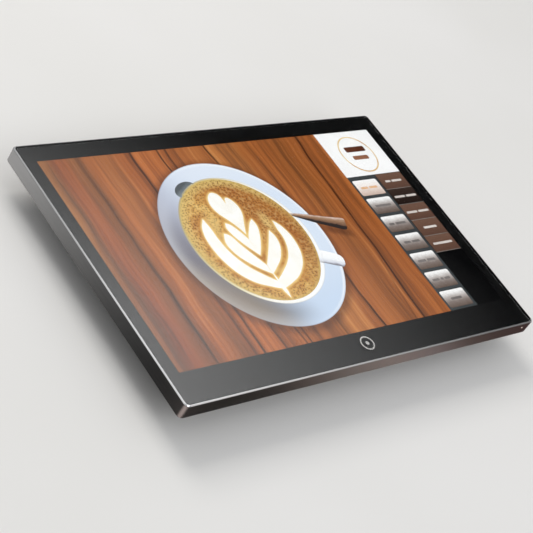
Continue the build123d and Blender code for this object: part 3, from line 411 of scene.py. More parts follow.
def area_of(outline):
    return sum(a[0] * b[1] - b[0] * a[1] for a, b in zip(outline, outline[1:] + outline[:1])) / 2


def band(name, outer, inner, low, thickness, material, body=HEAD):
    """Thin closed ring between two outlines of the same number of points."""
    mesh = bpy.data.meshes.new(name)
    bm = bmesh.new()
    rings = [[bm.verts.new((x, y, z)) for x, y in outline]
             for outline, z in ((outer, low), (inner, low), (inner, low + thickness), (outer, low + thickness))]
    for first, second in zip(rings, rings[1:] + rings[:1]):
        for i in range(len(first)):
            j = (i + 1) % len(first)
            bm.faces.new((first[i], first[j], second[j], second[i]))
    bmesh.ops.recalc_face_normals(bm, faces=bm.faces[:])
    bm.to_mesh(mesh)
    bm.free()
    return finished(name, mesh, material, body)


def finished(name, mesh, material, body):
    piece = bpy.data.objects.new(name, mesh)
    bpy.context.scene.collection.objects.link(piece)
    mesh.materials.append(material)
    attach(piece, body)
    return piece


def level(index):
    return CELL_TOP + GAP + index * (LAYER + GAP)


def layer(name, outlines, index, material):
    return prism(name, [as_outline(o) for o in outlines], level(index), LAYER, material)


def from_centre(tree, x, y, radius_x, radius_y):
    """Distance from an oval's centre, 1 on its edge, with the offsets along x and y."""
    px, py, _ = tree.split(tree.place)
    dx = tree.math("DIVIDE", tree.math("SUBTRACT", px, x * MM), radius_x * MM)
    dy = tree.math("DIVIDE", tree.math("SUBTRACT", py, y * MM + PICTURE_Y), radius_y * MM)
    far = tree.math("SQRT", tree.math("ADD", tree.math("MULTIPLY", dx, dx), tree.math("MULTIPLY", dy, dy)))
    return far, dx, dy


HALF_W, HALF_H = ACTIVE_W / 2 / MM, ACTIVE_H / 2 / MM
MENU_X = 96.4  # left edge of the menu column
SAUCER = (-31.2, -1.7, 67.2, 72.8)
CUP = (-29.6, 0.9, 52.9, 56.3)
BREW = (-30.4, 1.7, 50.6, 54.3)
# Joints between planks: x at the top and the bottom, darkness there, and how far the joint's shade spreads.
SEAMS = [
    (-124.5, -122.5, 0.3, 0.9, 5.0), (-78.5, -84.0, 0.85, 0.9, 2.0), (-55.5, -48.0, 0.95, 0.8, 1.5),
    (-48.0, -43.5, 0.8, 0.95, 1.2), (-11.5, -9.0, 0.85, 0.6, 1.6), (26.0, 28.5, 0.0, 0.95, 2.2),
    (76.5, 68.5, 0.9, 0.85, 3.0), (86.0, 60.5, 0.0, 0.4, 1.6), (-72.0, -65.5, 0.0, 0.6, 1.2),
]
# Tone of the planks across the picture, as multipliers of the grain's colour.
TINTS = [
    (-155, (0.84, 0.96, 1.0)), (-149, (0.80, 0.92, 1.0)), (-143, (0.90, 0.76, 0.80)), (-136, (0.92, 0.80, 0.82)),
    (-130, (0.76, 0.80, 0.86)), (-124, (0.72, 0.78, 0.84)), (-119, (1.0, 0.98, 0.96)), (-114, (1.10, 1.04, 1.0)),
    (-105, (1.0, 1.02, 1.06)), (-97, (0.98, 1.0, 1.04)), (-90, (1.0, 0.90, 0.88)), (-83, (0.95, 0.86, 0.84)),
    (-80, (1.12, 1.0, 0.94)), (-58, (1.08, 0.98, 0.94)), (-47, (0.98, 0.92, 0.9)), (-12, (0.98, 0.98, 0.96)),
    (-9, (1.12, 1.2, 1.18)), (14, (1.14, 1.22, 1.2)), (17, (0.98, 0.96, 0.94)), (28, (0.98, 0.96, 0.94)),
    (31, (1.06, 1.0, 0.94)), (44, (0.92, 0.88, 0.84)), (55, (0.82, 0.82, 0.80)), (66, (0.90, 0.84, 0.78)),
    (73, (0.86, 0.80, 0.76)), (79, (0.98, 0.90, 0.84)), (90, (1.02, 0.94, 0.86)), (97, (0.96, 0.88, 0.80)),
]


def planks():
    """Warm planks that run up the picture, with wavy dark joints and long grain."""
    t = Tree("picture_planks")
    x, y, _ = t.split(t.place)
    sway = t.noise(t.join(t.math("MULTIPLY", y, 16.0), t.math("MULTIPLY", x, 12.0)), 1.0, 2.0)
    wx = t.math("ADD", x, t.math("MULTIPLY", t.math("SUBTRACT", sway, 0.5), 9 * MM))

    def grain(across, along, detail, warp=0.0):
        return t.noise(t.join(t.math("MULTIPLY", wx, across), t.math("MULTIPLY", y, along)), 1.0, detail, 0.6, warp)

    fine, middle, wide = grain(800.0, 12.0, 5.0), grain(240.0, 5.0, 3.0, 0.15), grain(85.0, 3.5, 2.0, 0.2)
    mixed = t.math("ADD", t.math("MULTIPLY", fine, 0.22),
                   t.math("ADD", t.math("MULTIPLY", middle, 0.34), t.math("MULTIPLY", wide, 0.44)))
    tone = t.ramp(t.span(mixed, 0.34, 0.66, smooth=False),
                  (0.0, srgb(92, 56, 36)), (0.25, srgb(126, 76, 44)), (0.5, srgb(158, 94, 50)),
                  (0.75, srgb(178, 110, 60)), (1.0, srgb(200, 136, 80)))
    tints = [((x0 + 155) / 252, (r, g, b, 1)) for x0, (r, g, b) in TINTS]
    tone = t.mix(1.0, tone, t.ramp(t.span(wx, -155 * MM, 97 * MM, smooth=False), *tints), "MULTIPLY")
    low_left = t.math("MULTIPLY", t.span(x, -60 * MM, -150 * MM), t.span(y, 60 * MM, -70 * MM))
    tone = t.mix(t.math("MULTIPLY", low_left, 0.85), tone, t.mix(1.0, tone, (0.66, 0.48, 0.34, 1), "MULTIPLY"))
    height = t.span(y, -HALF_H * MM + PICTURE_Y, HALF_H * MM + PICTURE_Y, smooth=False)
    gap = None
    for top, low, dark_top, dark_low, band_width in SEAMS:
        at = t.math("MULTIPLY_ADD", height, (top - low) * MM, low * MM)
        near = t.math("ABSOLUTE", t.math("SUBTRACT", wx, at))
        dark = t.math("MULTIPLY_ADD", height, dark_top - dark_low, dark_low)
        line = t.math("ADD", t.span(near, 1.35 * MM, 0.35 * MM, 0.0, 0.62),
                      t.span(near, band_width * MM, 0.0, 0.0, 0.38))
        line = t.math("MULTIPLY", line, dark)
        gap = line if gap is None else t.math("MAXIMUM", gap, line)
    patchy = t.noise(t.join(t.math("MULTIPLY", x, 40.0), t.math("MULTIPLY", y, 30.0)), 1.0, 2.0)
    gap = t.math("MULTIPLY", gap, t.span(patchy, 0.25, 0.6, 0.7, 1.0))
    tone = t.mix(gap, tone, srgb(40, 22, 16))
    far, dx, dy = from_centre(t, SAUCER[0] - 0.6, SAUCER[1] - 2.0, SAUCER[2] + 1.0, SAUCER[3] + 1.0)
    shade = t.math("MULTIPLY", t.span(far, 1.09, 0.98), 0.55)
    tone = t.mix(shade, tone, srgb(60, 30, 18))
    px = t.math("SUBTRACT", x, 48 * MM)
    py = t.math("ADD", t.math("SUBTRACT", y, PICTURE_Y), t.math("ADD", 2.5 * MM, t.math("MULTIPLY", px, 0.37)))
    under = t.math("MULTIPLY", t.span(t.math("ABSOLUTE", py), 6 * MM, 1 * MM),
                   t.math("MULTIPLY", t.span(px, -14 * MM, -4 * MM), t.span(px, 17 * MM, 9 * MM)))
    tone = t.mix(t.math("MULTIPLY", under, 0.55), tone, srgb(70, 34, 18))
    return lit(t, tone)


def porcelain():
    """Bluish white saucer, lit from the right, with a raised rim and the cup's shadow."""
    t = Tree("picture_saucer")
    far, dx, dy = from_centre(t, *SAUCER)
    across = t.math("ADD", t.math("MULTIPLY", dx, 0.9), t.math("MULTIPLY", dy, 0.35))
    tone = t.ramp(t.span(across, -1.0, 1.0, smooth=False),
                  (0.0, srgb(176, 175, 180)), (0.14, srgb(176, 178, 190)), (0.3, srgb(186, 192, 208)),
                  (0.46, srgb(206, 216, 232)), (0.7, srgb(214, 226, 242)), (1.0, srgb(220, 232, 248)))
    low = t.math("MULTIPLY", t.span(dy, -0.1, -0.9), t.span(dx, -0.7, 0.1))
    tone = t.mix(t.math("MULTIPLY", low, 0.75), tone, srgb(194, 214, 238))
    top = t.math("MULTIPLY", t.span(dy, 0.45, 0.95), t.span(dx, -0.7, -0.1))
    tone = t.mix(t.math("MULTIPLY", top, 0.7), tone, srgb(228, 236, 248))
    rim = t.math("MULTIPLY", t.span(far, 0.955, 0.985), t.span(across, -0.4, 0.7, 0.0, 0.8))
    tone = t.mix(rim, tone, srgb(246, 250, 255))
    near, ex, ey = from_centre(t, CUP[0] - 5.0, CUP[1] - 7.0, CUP[2] + 1.0, CUP[3] + 1.0)
    side = t.span(t.math("ADD", t.math("MULTIPLY", ex, 0.85), t.math("MULTIPLY", ey, 0.6)), -0.15, -0.95)
    shade = t.math("MULTIPLY", t.span(near, 1.24, 0.94), side)
    tone = t.mix(t.math("MULTIPLY", shade, 0.8), tone, srgb(84, 74, 66))
    left = t.math("MULTIPLY", t.span(near, 1.16, 0.98), t.span(ex, -0.5, -1.0))
    tone = t.mix(t.math("MULTIPLY", left, 0.35), tone, srgb(120, 122, 146))
    warm = t.math("MULTIPLY", t.span(t.math("ADD", ex, ey), -0.95, -1.5), t.span(near, 1.36, 1.12))
    tone = t.mix(t.math("MULTIPLY", warm, 0.45), tone, srgb(168, 150, 124))
    edge = t.span(far, 0.985, 1.0)
    tone = t.mix(t.math("MULTIPLY", edge, 0.45), tone, srgb(128, 122, 130))
    return lit(t, tone)


def cup_wall():
    """White rim of the cup, brighter on the right."""
    t = Tree("picture_cup")
    far, dx, dy = from_centre(t, *CUP)
    side = t.math("SUBTRACT", dx, t.math("MULTIPLY", dy, 0.5))
    tone = t.ramp(t.span(side, -1.1, 1.1, smooth=False),
                  (0.0, srgb(186, 170, 124)), (0.3, srgb(222, 210, 170)), (0.55, srgb(246, 244, 236)),
                  (1.0, srgb(250, 252, 255)))
    tone = t.mix(t.math("MULTIPLY", t.span(far, 0.985, 1.0), 0.4), tone, srgb(150, 144, 134))
    return lit(t, tone)


def crema():
    """Golden foam with fine dark bubbles, paler round the milk."""
    t = Tree("picture_crema")
    far, dx, dy = from_centre(t, *BREW)
    x, y, _ = t.split(t.place)
    plane = t.join(x, y)
    near = t.new("ShaderNodeAttribute", attribute_name="milk").outputs["Fac"]
    cloud = t.noise(plane, 42.0, 4.0, 0.6, 0.6)
    streak = t.noise(plane, 170.0, 4.0, 0.6)
    mixed = t.math("ADD", t.math("MULTIPLY", cloud, 0.55), t.math("MULTIPLY", streak, 0.45))
    tone = t.ramp(mixed, (0.3, srgb(162, 100, 34)), (0.44, srgb(194, 136, 58)), (0.56, srgb(218, 170, 88)),
                  (0.7, srgb(234, 202, 130)))
    right = t.span(t.math("ADD", dx, t.math("MULTIPLY", dy, 0.55)), -0.15, 0.75)
    tone = t.mix(t.math("MULTIPLY", right, 0.75), tone, srgb(164, 94, 34))
    pale = t.math("MULTIPLY", t.span(far, 0.82, 0.95), t.span(t.math("SUBTRACT", dx, dy), 1.0, -0.4, 0.2, 0.75))
    tone = t.mix(pale, tone, srgb(218, 188, 112))
    for cx, cy, wide, tall in ((-54.5, 15.0, 7.5, 17.0), (-7.0, 12.0, 6.5, 15.0), (-22.0, -28.0, 14.0, 5.0)):
        zone, _, _ = from_centre(t, cx, cy, wide, tall)
        tone = t.mix(t.span(zone, 1.1, 0.2, 0.0, 0.6), tone, srgb(236, 204, 128))
    coarse, fine = t.cells(plane, 410.0, flat=True), t.cells(plane, 560.0, flat=True)
    where = t.span(t.noise(plane, 70.0, 2.0), 0.3, 0.55, 0.45, 1.0)
    dots = t.math("MAXIMUM", t.math("MULTIPLY", t.span(coarse, 0.27, 0.13), where),
                  t.math("MULTIPLY", t.span(fine, 0.28, 0.13), t.math("MULTIPLY", where, 0.7)))
    dots = t.math("MULTIPLY", dots, t.span(near, 0.78, 0.5))
    tone = t.mix(t.math("MULTIPLY", dots, 0.85), tone, srgb(92, 48, 14))
    walls = t.math("MULTIPLY", t.span(coarse, 0.5, 0.7), t.math("MULTIPLY", where, t.span(near, 0.7, 0.4)))
    tone = t.mix(t.math("MULTIPLY", walls, 0.2), tone, srgb(240, 214, 150))
    brown = t.math("MULTIPLY", t.span(near, 0.35, 0.6), t.span(near, 0.86, 0.74))
    tone = t.mix(t.math("MULTIPLY", brown, 0.22), tone, srgb(184, 110, 36))
    gold = t.ramp(near, (0.68, srgb(0, 0, 0)), (0.82, srgb(150, 150, 150)),
                  (0.93, srgb(226, 226, 226)), (1.0, srgb(255, 255, 255)))
    tone = t.mix(gold, tone, srgb(244, 214, 140))
    tone = t.mix(t.math("MULTIPLY", t.span(far, 0.95, 0.99), 0.5), tone, srgb(206, 180, 104))
    return lit(t, tone)


def milk():
    """Milk foam: white, faintly creamy towards its edges."""
    t = Tree("picture_milk")
    cloud = t.noise(t.place, 120.0, 3.0)
    return lit(t, t.mix(t.span(cloud, 0.3, 0.7), srgb(250, 247, 238), srgb(255, 254, 250)))


def plain_lit(name, first, second, scale=60.0):
    """Lit colour that drifts between two tones."""
    t = Tree(name)
    return lit(t, t.mix(t.span(t.noise(t.place, scale, 3.0), 0.3, 0.7), first, second))


def graded_lit(name, low, high, *stops):
    """Lit colour that changes up a piece of the menu, from low to high in the picture."""
    t = Tree(name)
    x, y, _ = t.split(t.place)
    along = t.span(y, low * MM + PICTURE_Y, high * MM + PICTURE_Y, smooth=False)
    drift = t.noise(t.place, 300.0, 3.0)
    return lit(t, t.ramp(t.math("ADD", along, t.span(drift, 0.3, 0.7, -0.03, 0.03)), *stops))


# The milk pattern: a heart over three pairs of leaves on one stem.
HEART = leaf(
    [(-32.2, 5.4), (-34.2, 11.6), (-38.0, 18.8), (-42.6, 26.0), (-44.2, 33.0), (-42.4, 39.6),
     (-38.0, 43.8), (-33.8, 43.6), (-31.0, 39.6), (-30.6, 33.0)],
    [(-30.6, 33.0), (-28.8, 37.2), (-26.4, 38.4), (-23.4, 35.2), (-21.8, 29.2), (-23.4, 22.0),
     (-28.2, 13.4), (-32.2, 5.4)],
)
LEAVES = [
    ([(-33.0, -13.2), (-36.4, -8.0), (-40.6, -0.6), (-43.8, 7.4), (-44.6, 13.0), (-42.8, 17.2)],
     [(-42.8, 17.2), (-39.2, 14.8), (-36.2, 9.4), (-34.2, 4.6), (-33.0, 1.0)]),
    ([(-33.0, -13.2), (-27.4, -6.2), (-21.6, 2.8), (-18.0, 11.2), (-18.4, 17.4)],
     [(-18.4, 17.4), (-22.0, 14.8), (-26.4, 9.8), (-30.2, 5.2), (-33.0, 1.0)]),
    ([(-33.6, -29.6), (-40.4, -24.2), (-47.4, -16.8), (-52.4, -8.4), (-53.8, 0.8), (-50.0, 8.8)],
     [(-50.0, 8.8), (-46.0, 6.2), (-42.8, -2.2), (-38.4, -12.0), (-33.6, -22.0)]),
    ([(-33.6, -29.6), (-26.6, -24.8), (-18.0, -18.0), (-11.2, -8.6), (-9.2, -0.4), (-10.6, 6.0)],
     [(-10.6, 6.0), (-14.0, 1.8), (-20.0, -6.0), (-27.2, -14.6), (-33.6, -22.0)]),
    ([(-33.8, -42.6), (-42.6, -39.0), (-52.8, -33.6), (-61.4, -24.0), (-66.6, -10.0), (-67.4, 4.6),
      (-64.4, 15.4), (-58.6, 23.2)],
     [(-58.6, 23.2), (-57.6, 14.4), (-57.4, 3.2), (-55.2, -8.8), (-49.2, -20.6), (-40.4, -30.2), (-33.8, -36.0)]),
    ([(-33.0, -42.6), (-23.8, -39.4), (-13.4, -34.6), (-3.2, -25.8), (3.0, -14.8), (4.8, -2.6),
      (2.6, 7.6), (-1.6, 13.8)],
     [(-1.6, 13.8), (-2.8, 6.4), (-3.2, -3.0), (-7.2, -13.0), (-13.4, -20.8), (-21.6, -27.4), (-33.0, -35.0)]),
]
TAIL = leaf([(-33.0, -50.6), (-34.8, -44.0), (-34.2, -36.0), (-33.4, -26.0)],
            [(-33.4, -26.0), (-32.6, -36.0), (-31.6, -44.0), (-33.0, -50.6)])
MILK = [HEART, TAIL] + [leaf(*edges) for edges in LEAVES]


REACH = 6.0  # mm, how far the milk's edge tints the crema


def gap_to(outline, x, y):
    """Distance from a point to an outline, negative inside."""
    best, inside = 1e9, False
    for (ax, ay), (bx, by) in zip(outline, outline[1:] + outline[:1]):
        ex, ey = bx - ax, by - ay
        length = ex * ex + ey * ey
        s = 0 if length == 0 else max(0, min(1, ((x - ax) * ex + (y - ay) * ey) / length))
        best = min(best, math.hypot(x - ax - s * ex, y - ay - s * ey))
        if (ay > y) != (by > y) and x < ax + (y - ay) * ex / ey:
            inside = not inside
    return -best if inside else best


def crema_disc(rings=44, count=150):
    """Disc whose top is a fine web that holds how near each point is to the milk."""
    mesh = bpy.data.meshes.new("picture_crema")
    bm = bmesh.new()
    x0, y0, radius_x, radius_y = BREW
    low = level(3)
    centre = bm.verts.new((x0 * MM, y0 * MM + PICTURE_Y, low + LAYER))
    loops = []
    for ring in range(1, rings + 1):
        outline = as_outline(oval(x0, y0, radius_x * ring / rings, radius_y * ring / rings, count))
        loops.append([bm.verts.new((x, y, low + LAYER)) for x, y in outline])
    lows = [bm.verts.new((v.co.x, v.co.y, low)) for v in loops[-1]]
    for i in range(count):
        j = (i + 1) % count
        bm.faces.new((centre, loops[0][i], loops[0][j]))
        for inner, outer in zip(loops, loops[1:]):
            bm.faces.new((inner[i], outer[i], outer[j], inner[j]))
        bm.faces.new((loops[-1][i], lows[i], lows[j], loops[-1][j]))
    bm.faces.new(lows[::-1])
    bmesh.ops.recalc_face_normals(bm, faces=bm.faces[:])
    bm.to_mesh(mesh)
    bm.free()
    coarse = []
    for outline in MILK:
        kept = outline[::3]
        xs, ys = [p[0] for p in kept], [p[1] for p in kept]
        coarse.append((min(xs) - REACH, min(ys) - REACH, max(xs) + REACH, max(ys) + REACH, kept))
    near = mesh.attributes.new("milk", "FLOAT", "POINT")
    for vertex, value in zip(mesh.vertices, near.data):
        x, y = vertex.co.x / MM, (vertex.co.y - PICTURE_Y) / MM
        gap = REACH
        for left, bottom, right, top, outline in coarse:
            if left < x < right and bottom < y < top:
                gap = min(gap, gap_to(outline, x, y))
        value.value = 1.0 - max(0.0, gap) / REACH
    return finished("picture_crema", mesh, crema(), HEAD)


def spoon_steel():
    """Handle of the spoon: dark underside, brown middle and a bright line along the top."""
    t = Tree("picture_spoon_handle")
    x, y, _ = t.split(t.place)
    slope = t.math("DIVIDE", t.math("SUBTRACT", y, 22.7 * MM + PICTURE_Y), t.math("SUBTRACT", x, 0.4 * MM))
    streak = t.span(t.noise(t.scaled(t.place, (200, 700, 0)), 1.0, 3.0), 0.3, 0.7, -0.05, 0.05)
    across = t.math("ADD", t.span(slope, -0.425, -0.252, smooth=False), streak)
    return lit(t, t.ramp(across, (0.0, srgb(40, 30, 28)), (0.16, srgb(44, 32, 30)), (0.24, srgb(110, 80, 62)),
                         (0.5, srgb(146, 110, 84)), (0.72, srgb(168, 134, 108)), (0.86, srgb(214, 188, 176)),
                         (0.95, srgb(198, 168, 150)), (1.0, srgb(120, 88, 70))))


def handle_glaze():
    """White handle of the cup with a grey lower edge."""
    t = Tree("picture_cup_handle")
    x, y, _ = t.split(t.place)
    across = t.math("ADD", t.math("SUBTRACT", y, PICTURE_Y), t.math("MULTIPLY", x, 0.433))
    drift = t.span(t.noise(t.place, 160.0, 2.0), 0.3, 0.7, -0.04, 0.04)
    return lit(t, t.ramp(t.math("ADD", t.span(across, -21.4 * MM, -8.6 * MM, smooth=False), drift),
                         (0.0, srgb(104, 100, 108)), (0.1, srgb(150, 150, 160)), (0.22, srgb(216, 220, 230)),
                         (0.5, srgb(248, 250, 252)), (1.0, srgb(255, 255, 255))))


def bowl_steel():
    """Bowl of the spoon behind the cup, dark with a paler side."""
    t = Tree("picture_spoon_bowl")
    x, y, _ = t.split(t.place)
    across = t.math("ADD", t.math("SUBTRACT", y, PICTURE_Y), t.math("MULTIPLY", x, -0.55))
    drift = t.span(t.noise(t.place, 130.0, 2.0), 0.3, 0.7, -0.08, 0.08)
    return lit(t, t.ramp(t.math("ADD", t.span(across, 74 * MM, 90 * MM, smooth=False), drift),
                         (0.0, srgb(150, 162, 170)), (0.3, srgb(120, 130, 136)), (0.6, srgb(78, 84, 88)),
                         (1.0, srgb(84, 90, 96))))


# ---------------------------------------------------------------- picture
layer("picture_planks", [rounded(-HALF_W, -HALF_H, MENU_X, HALF_H)], 0, planks())
layer("picture_saucer", [oval(*SAUCER)], 1, porcelain())
BOWL = [(x * 0.9 - y * 0.3 + 9.4, y * 0.95 + x * 0.32 + 20.0) for x, y in oval(-55.0, 49.5, 11.5, 6.4, 60)]
HANDLE = [(18.0, 18.0), (22.4, 17.1), (34.3, 14.2), (51.6, 9.4), (60.8, 7.4), (62.4, 6.6), (62.7, 5.0),
          (60.4, -1.6), (59.4, -3.0), (57.6, -3.6), (55.5, -3.1), (36.7, 5.4), (22.4, 13.0), (18.0, 15.4)]
CUP_HANDLE = leaf(
    [(12.0, -15.0), (20.4, -17.2), (28.0, -20.4), (33.6, -23.6), (35.2, -27.0), (33.8, -31.6), (30.6, -34.2)],
    [(30.6, -34.2), (24.0, -31.6), (16.6, -28.4), (10.0, -25.6), (12.0, -15.0)],
)
layer("picture_spoon_bowl", [BOWL], 2, bowl_steel())
layer("picture_spoon_handle", [HANDLE], 2, spoon_steel())
layer("picture_cup_handle", [CUP_HANDLE], 2, handle_glaze())
layer("picture_cup", [oval(*CUP)], 2, cup_wall())
crema_disc()
layer("picture_milk", MILK, 4, milk())

# Advert panel: a plain ring sign round two bars, with no lettering.
ADVERT_LOW = 42.4
layer("picture_panel", [rounded(MENU_X, ADVERT_LOW, HALF_W, HALF_H)], 0,
      plain_lit("picture_panel", srgb(250, 250, 250), srgb(255, 255, 255)))
band("picture_sign_ring", as_outline(oval(126.2, 63.6, 17.2, 18.2)), as_outline(oval(126.2, 63.6, 16.1, 17.1)),
     level(1), LAYER, plain_lit("picture_sign_ring", srgb(202, 150, 72), srgb(240, 216, 164), 90.0))
layer("picture_sign_bars", [rounded(116.0, 66.2, 137.2, 71.4, 1.2)], 1,
      plain_lit("picture_sign_bars", srgb(84, 44, 30), srgb(96, 54, 38)))
layer("picture_sign_bars_low", [rounded(118.4, 58.2, 134.8, 62.2, 1.2)], 1,
      plain_lit("picture_sign_bars_low", srgb(140, 92, 70), srgb(150, 102, 78)))

# Menu: seven tiles on a grey strip, five tabs beside them and an empty black field below.
STRIP_R = 126.1
layer("picture_strip", [rounded(MENU_X, -HALF_H, STRIP_R, ADVERT_LOW)], 0,
      plain_lit("picture_strip", srgb(58, 62, 64), srgb(66, 70, 72)))
layer("picture_field", [rounded(STRIP_R, -HALF_H, HALF_W, ADVERT_LOW)], 0,
      plain_lit("picture_field", srgb(4, 4, 5), srgb(7, 7, 8)))
TILE_PITCH, TILE_H, TILE_L, TILE_R = 18.03, 15.0, 98.4, 123.6
TAB_PITCH, TAB_H, TAB_L = 15.75, 15.1, 126.5
WORDS = [(0.68, (5, 6)), (0.66, (7,)), (0.7, (3, 6)), (0.66, (5, 6)), (0.74, (5, 5)), (0.76, (5, 2, 4)), (0.46, (6,))]
TAB_WORDS = [(0.62, (3, 6)), (0.84, (6, 6)), (0.86, (6, 6)), (0.5, (8,)), (0.74, (10,))]
PLAIN_TILE = ((0.0, srgb(100, 84, 75)), (0.3, srgb(130, 117, 111)), (0.6, srgb(180, 172, 168)),
              (0.9, srgb(250, 249, 248)))
CHOSEN_TILE = ((0.0, srgb(206, 180, 166)), (0.3, srgb(226, 208, 198)), (0.6, srgb(246, 238, 232)),
               (1.0, srgb(255, 254, 254)))
PLAIN_TAB = ((0.0, srgb(92, 66, 55)), (0.5, srgb(104, 76, 63)), (1.0, srgb(112, 84, 70)))
DARK_TAB = ((0.0, srgb(34, 24, 20)), (0.5, srgb(46, 34, 29)), (1.0, srgb(58, 44, 38)))


def word_bars(left, right, middle, height, shares):
    """Blank bars for the words of one label, parted by gaps."""
    gap = height * 0.7
    room = (right - left) - gap * (len(shares) - 1)
    bars, at = [], left
    for share in shares:
        wide = room * share / sum(shares)
        bars.append(rounded(at, middle - height / 2, at + wide, middle + height / 2, height * 0.3))
        at += wide + gap
    return bars


for index, (reach, shares) in enumerate(WORDS):
    top = 38.5 - index * TILE_PITCH
    low = top - TILE_H
    chosen = index == 0
    layer(f"picture_tile_{index}", [rounded(TILE_L, low, TILE_R, top, 1.4)], 1,
          graded_lit(f"picture_tile_{index}", low, top, *(CHOSEN_TILE if chosen else PLAIN_TILE)))
    middle, half = (TILE_L + TILE_R) / 2, (TILE_R - TILE_L) / 2 * reach
    ink = (srgb(226, 176, 134), srgb(234, 190, 150)) if chosen else (srgb(112, 106, 104), srgb(126, 120, 118))
    layer(f"picture_tile_label_{index}", word_bars(middle - half, middle + half, low + 7.4, 2.1, shares), 2,
          plain_lit(f"picture_tile_label_{index}", *ink))
for index, (reach, shares) in enumerate(TAB_WORDS):
    top = 42.0 - index * TAB_PITCH
    low = top - TAB_H
    layer(f"picture_tab_{index}", [rounded(TAB_L, low, HALF_W - 0.4, top, 0.5)], 1,
          graded_lit(f"picture_tab_{index}", low, top, *(DARK_TAB if index == 1 else PLAIN_TAB)))
    middle, half = (TAB_L + HALF_W) / 2, (HALF_W - TAB_L) / 2 * reach
    layer(f"picture_tab_label_{index}", word_bars(middle - half, middle + half, low + 7.4, 2.0, shares), 2,
          plain_lit(f"picture_tab_label_{index}", srgb(206, 196, 190), srgb(224, 216, 210)))
    layer(f"picture_tab_line_{index}", [rounded(TAB_L, low - 0.5, HALF_W - 0.4, low - 0.05)], 1,
          plain_lit(f"picture_tab_line_{index}", srgb(132, 122, 116), srgb(150, 140, 134)))

# Print behind the glass, a hair clear of it.
glass_low, glass_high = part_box("cover_glass")
half_w, half_h = glass_high.x - 0.1 * MM, glass_high.y - 0.1 * MM
opening = [(ACTIVE_W / 2, PICTURE_Y - ACTIVE_H / 2), (ACTIVE_W / 2, PICTURE_Y + ACTIVE_H / 2),
           (-ACTIVE_W / 2, PICTURE_Y + ACTIVE_H / 2), (-ACTIVE_W / 2, PICTURE_Y - ACTIVE_H / 2)]
CORNER_POINTS = 6  # points of the outer edge at each corner
outer = rounded(-half_w, -half_h, half_w, half_h, 2.1 * MM, CORNER_POINTS - 1)
ink = Tree("black_border_print")
speck = ink.noise(ink.place, 900.0, 2.0)
ink_tone = ink.mix(ink.span(speck, 0.3, 0.7), (0.0080, 0.0080, 0.0082, 1), (0.0105, 0.0105, 0.0108, 1))
ink_black = ink.surface(Base_Color=ink_tone,
                        Roughness=ink.span(speck, 0.3, 0.7, 0.7, 0.8), Specular_IOR_Level=0.0)
print_low = glass_low.z - 0.08 * MM
print_high = print_low + 0.05 * MM
border = bpy.data.meshes.new("ink_border_print")
bm = bmesh.new()
rings = []
for outline, z in ((outer, print_low), (opening, print_low), (opening, print_high), (outer, print_high)):
    rings.append([bm.verts.new((x, y, z)) for x, y in outline])
for low_ring, small in ((rings[0], rings[1]), (rings[3], rings[2])):
    for corner in range(4):
        fan = low_ring[corner * CORNER_POINTS: (corner + 1) * CORNER_POINTS]
        for a, b in zip(fan, fan[1:]):
            bm.faces.new((a, b, small[corner]))
        after = (corner + 1) % 4
        bm.faces.new((fan[-1], low_ring[after * CORNER_POINTS], small[after], small[corner]))
for one, two in ((rings[0], rings[3]), (rings[1], rings[2])):
    for i in range(len(one)):
        j = (i + 1) % len(one)
        bm.faces.new((one[i], one[j], two[j], two[i]))
bmesh.ops.recalc_face_normals(bm, faces=bm.faces[:])
bm.to_mesh(border)
bm.free()
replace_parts(finished("ink_border_print", border, ink_black, HEAD), "ink_border")

# ---------------------------------------------------------------- floor, lights and camera
floor_mesh = bpy.data.meshes.new("floor")
floor_mesh.from_pydata([(-4, -4, 0), (4, -4, 0), (4, 4, 0), (-4, 4, 0)], [], [(0, 1, 2, 3)])
floor = bpy.data.objects.new("floor", floor_mesh)
bpy.context.scene.collection.objects.link(floor)
t = Tree("pale_floor")
tone = t.noise(t.place, 3.0, 3.0)
matte = t.new("ShaderNodeBsdfDiffuse")
t.feed(matte.inputs["Color"], t.mix(t.span(tone, 0.3, 0.7), srgb(226, 224, 220), srgb(230, 228, 225)))
hole = t.new("ShaderNodeBsdfTransparent")
either = t.new("ShaderNodeMixShader")
t.feed(either.inputs[0], t.new("ShaderNodeNewGeometry").outputs["Backfacing"])
t.tree.links.new(matte.outputs[0], either.inputs[1])
t.tree.links.new(hole.outputs[0], either.inputs[2])
t.tree.links.new(either.outputs[0], t.output.inputs[0])
floor_mesh.materials.append(t.material)

world = bpy.data.worlds.new("studio")
bpy.context.scene.world = world
world.use_nodes = True
sky = world.node_tree
background = sky.nodes["Background"]
heading = sky.nodes.new("ShaderNodeTexCoord").outputs["Generated"]
parts = sky.nodes.new("ShaderNodeSeparateXYZ")
sky.links.new(heading, parts.inputs[0])
rise = sky.nodes.new("ShaderNodeMapRange")
rise.interpolation_type = "SMOOTHSTEP"
for key, value in (("From Min", -0.2), ("From Max", 1.0), ("To Min", 0.42), ("To Max", 0.72)):
    rise.inputs[key].default_value = value
sky.links.new(parts.outputs["Z"], rise.inputs["Value"])
sky.links.new(rise.outputs["Result"], background.inputs["Strength"])
background.inputs["Color"].default_value = (0.95, 0.97, 1.0, 1)


def softbox(name, place, aim, width, height, power, colour=(1, 1, 1)):
    light = bpy.data.lights.new(name, "AREA")
    light.shape = "RECTANGLE"
    light.size, light.size_y, light.energy, light.color = width, height, power, colour
    holder = bpy.data.objects.new(name, light)
    bpy.context.scene.collection.objects.link(holder)
    holder.location = place
    holder.rotation_euler = (Vector(aim) - Vector(place)).to_track_quat("-Z", "Y").to_euler()
    holder.visible_camera = False
    return holder


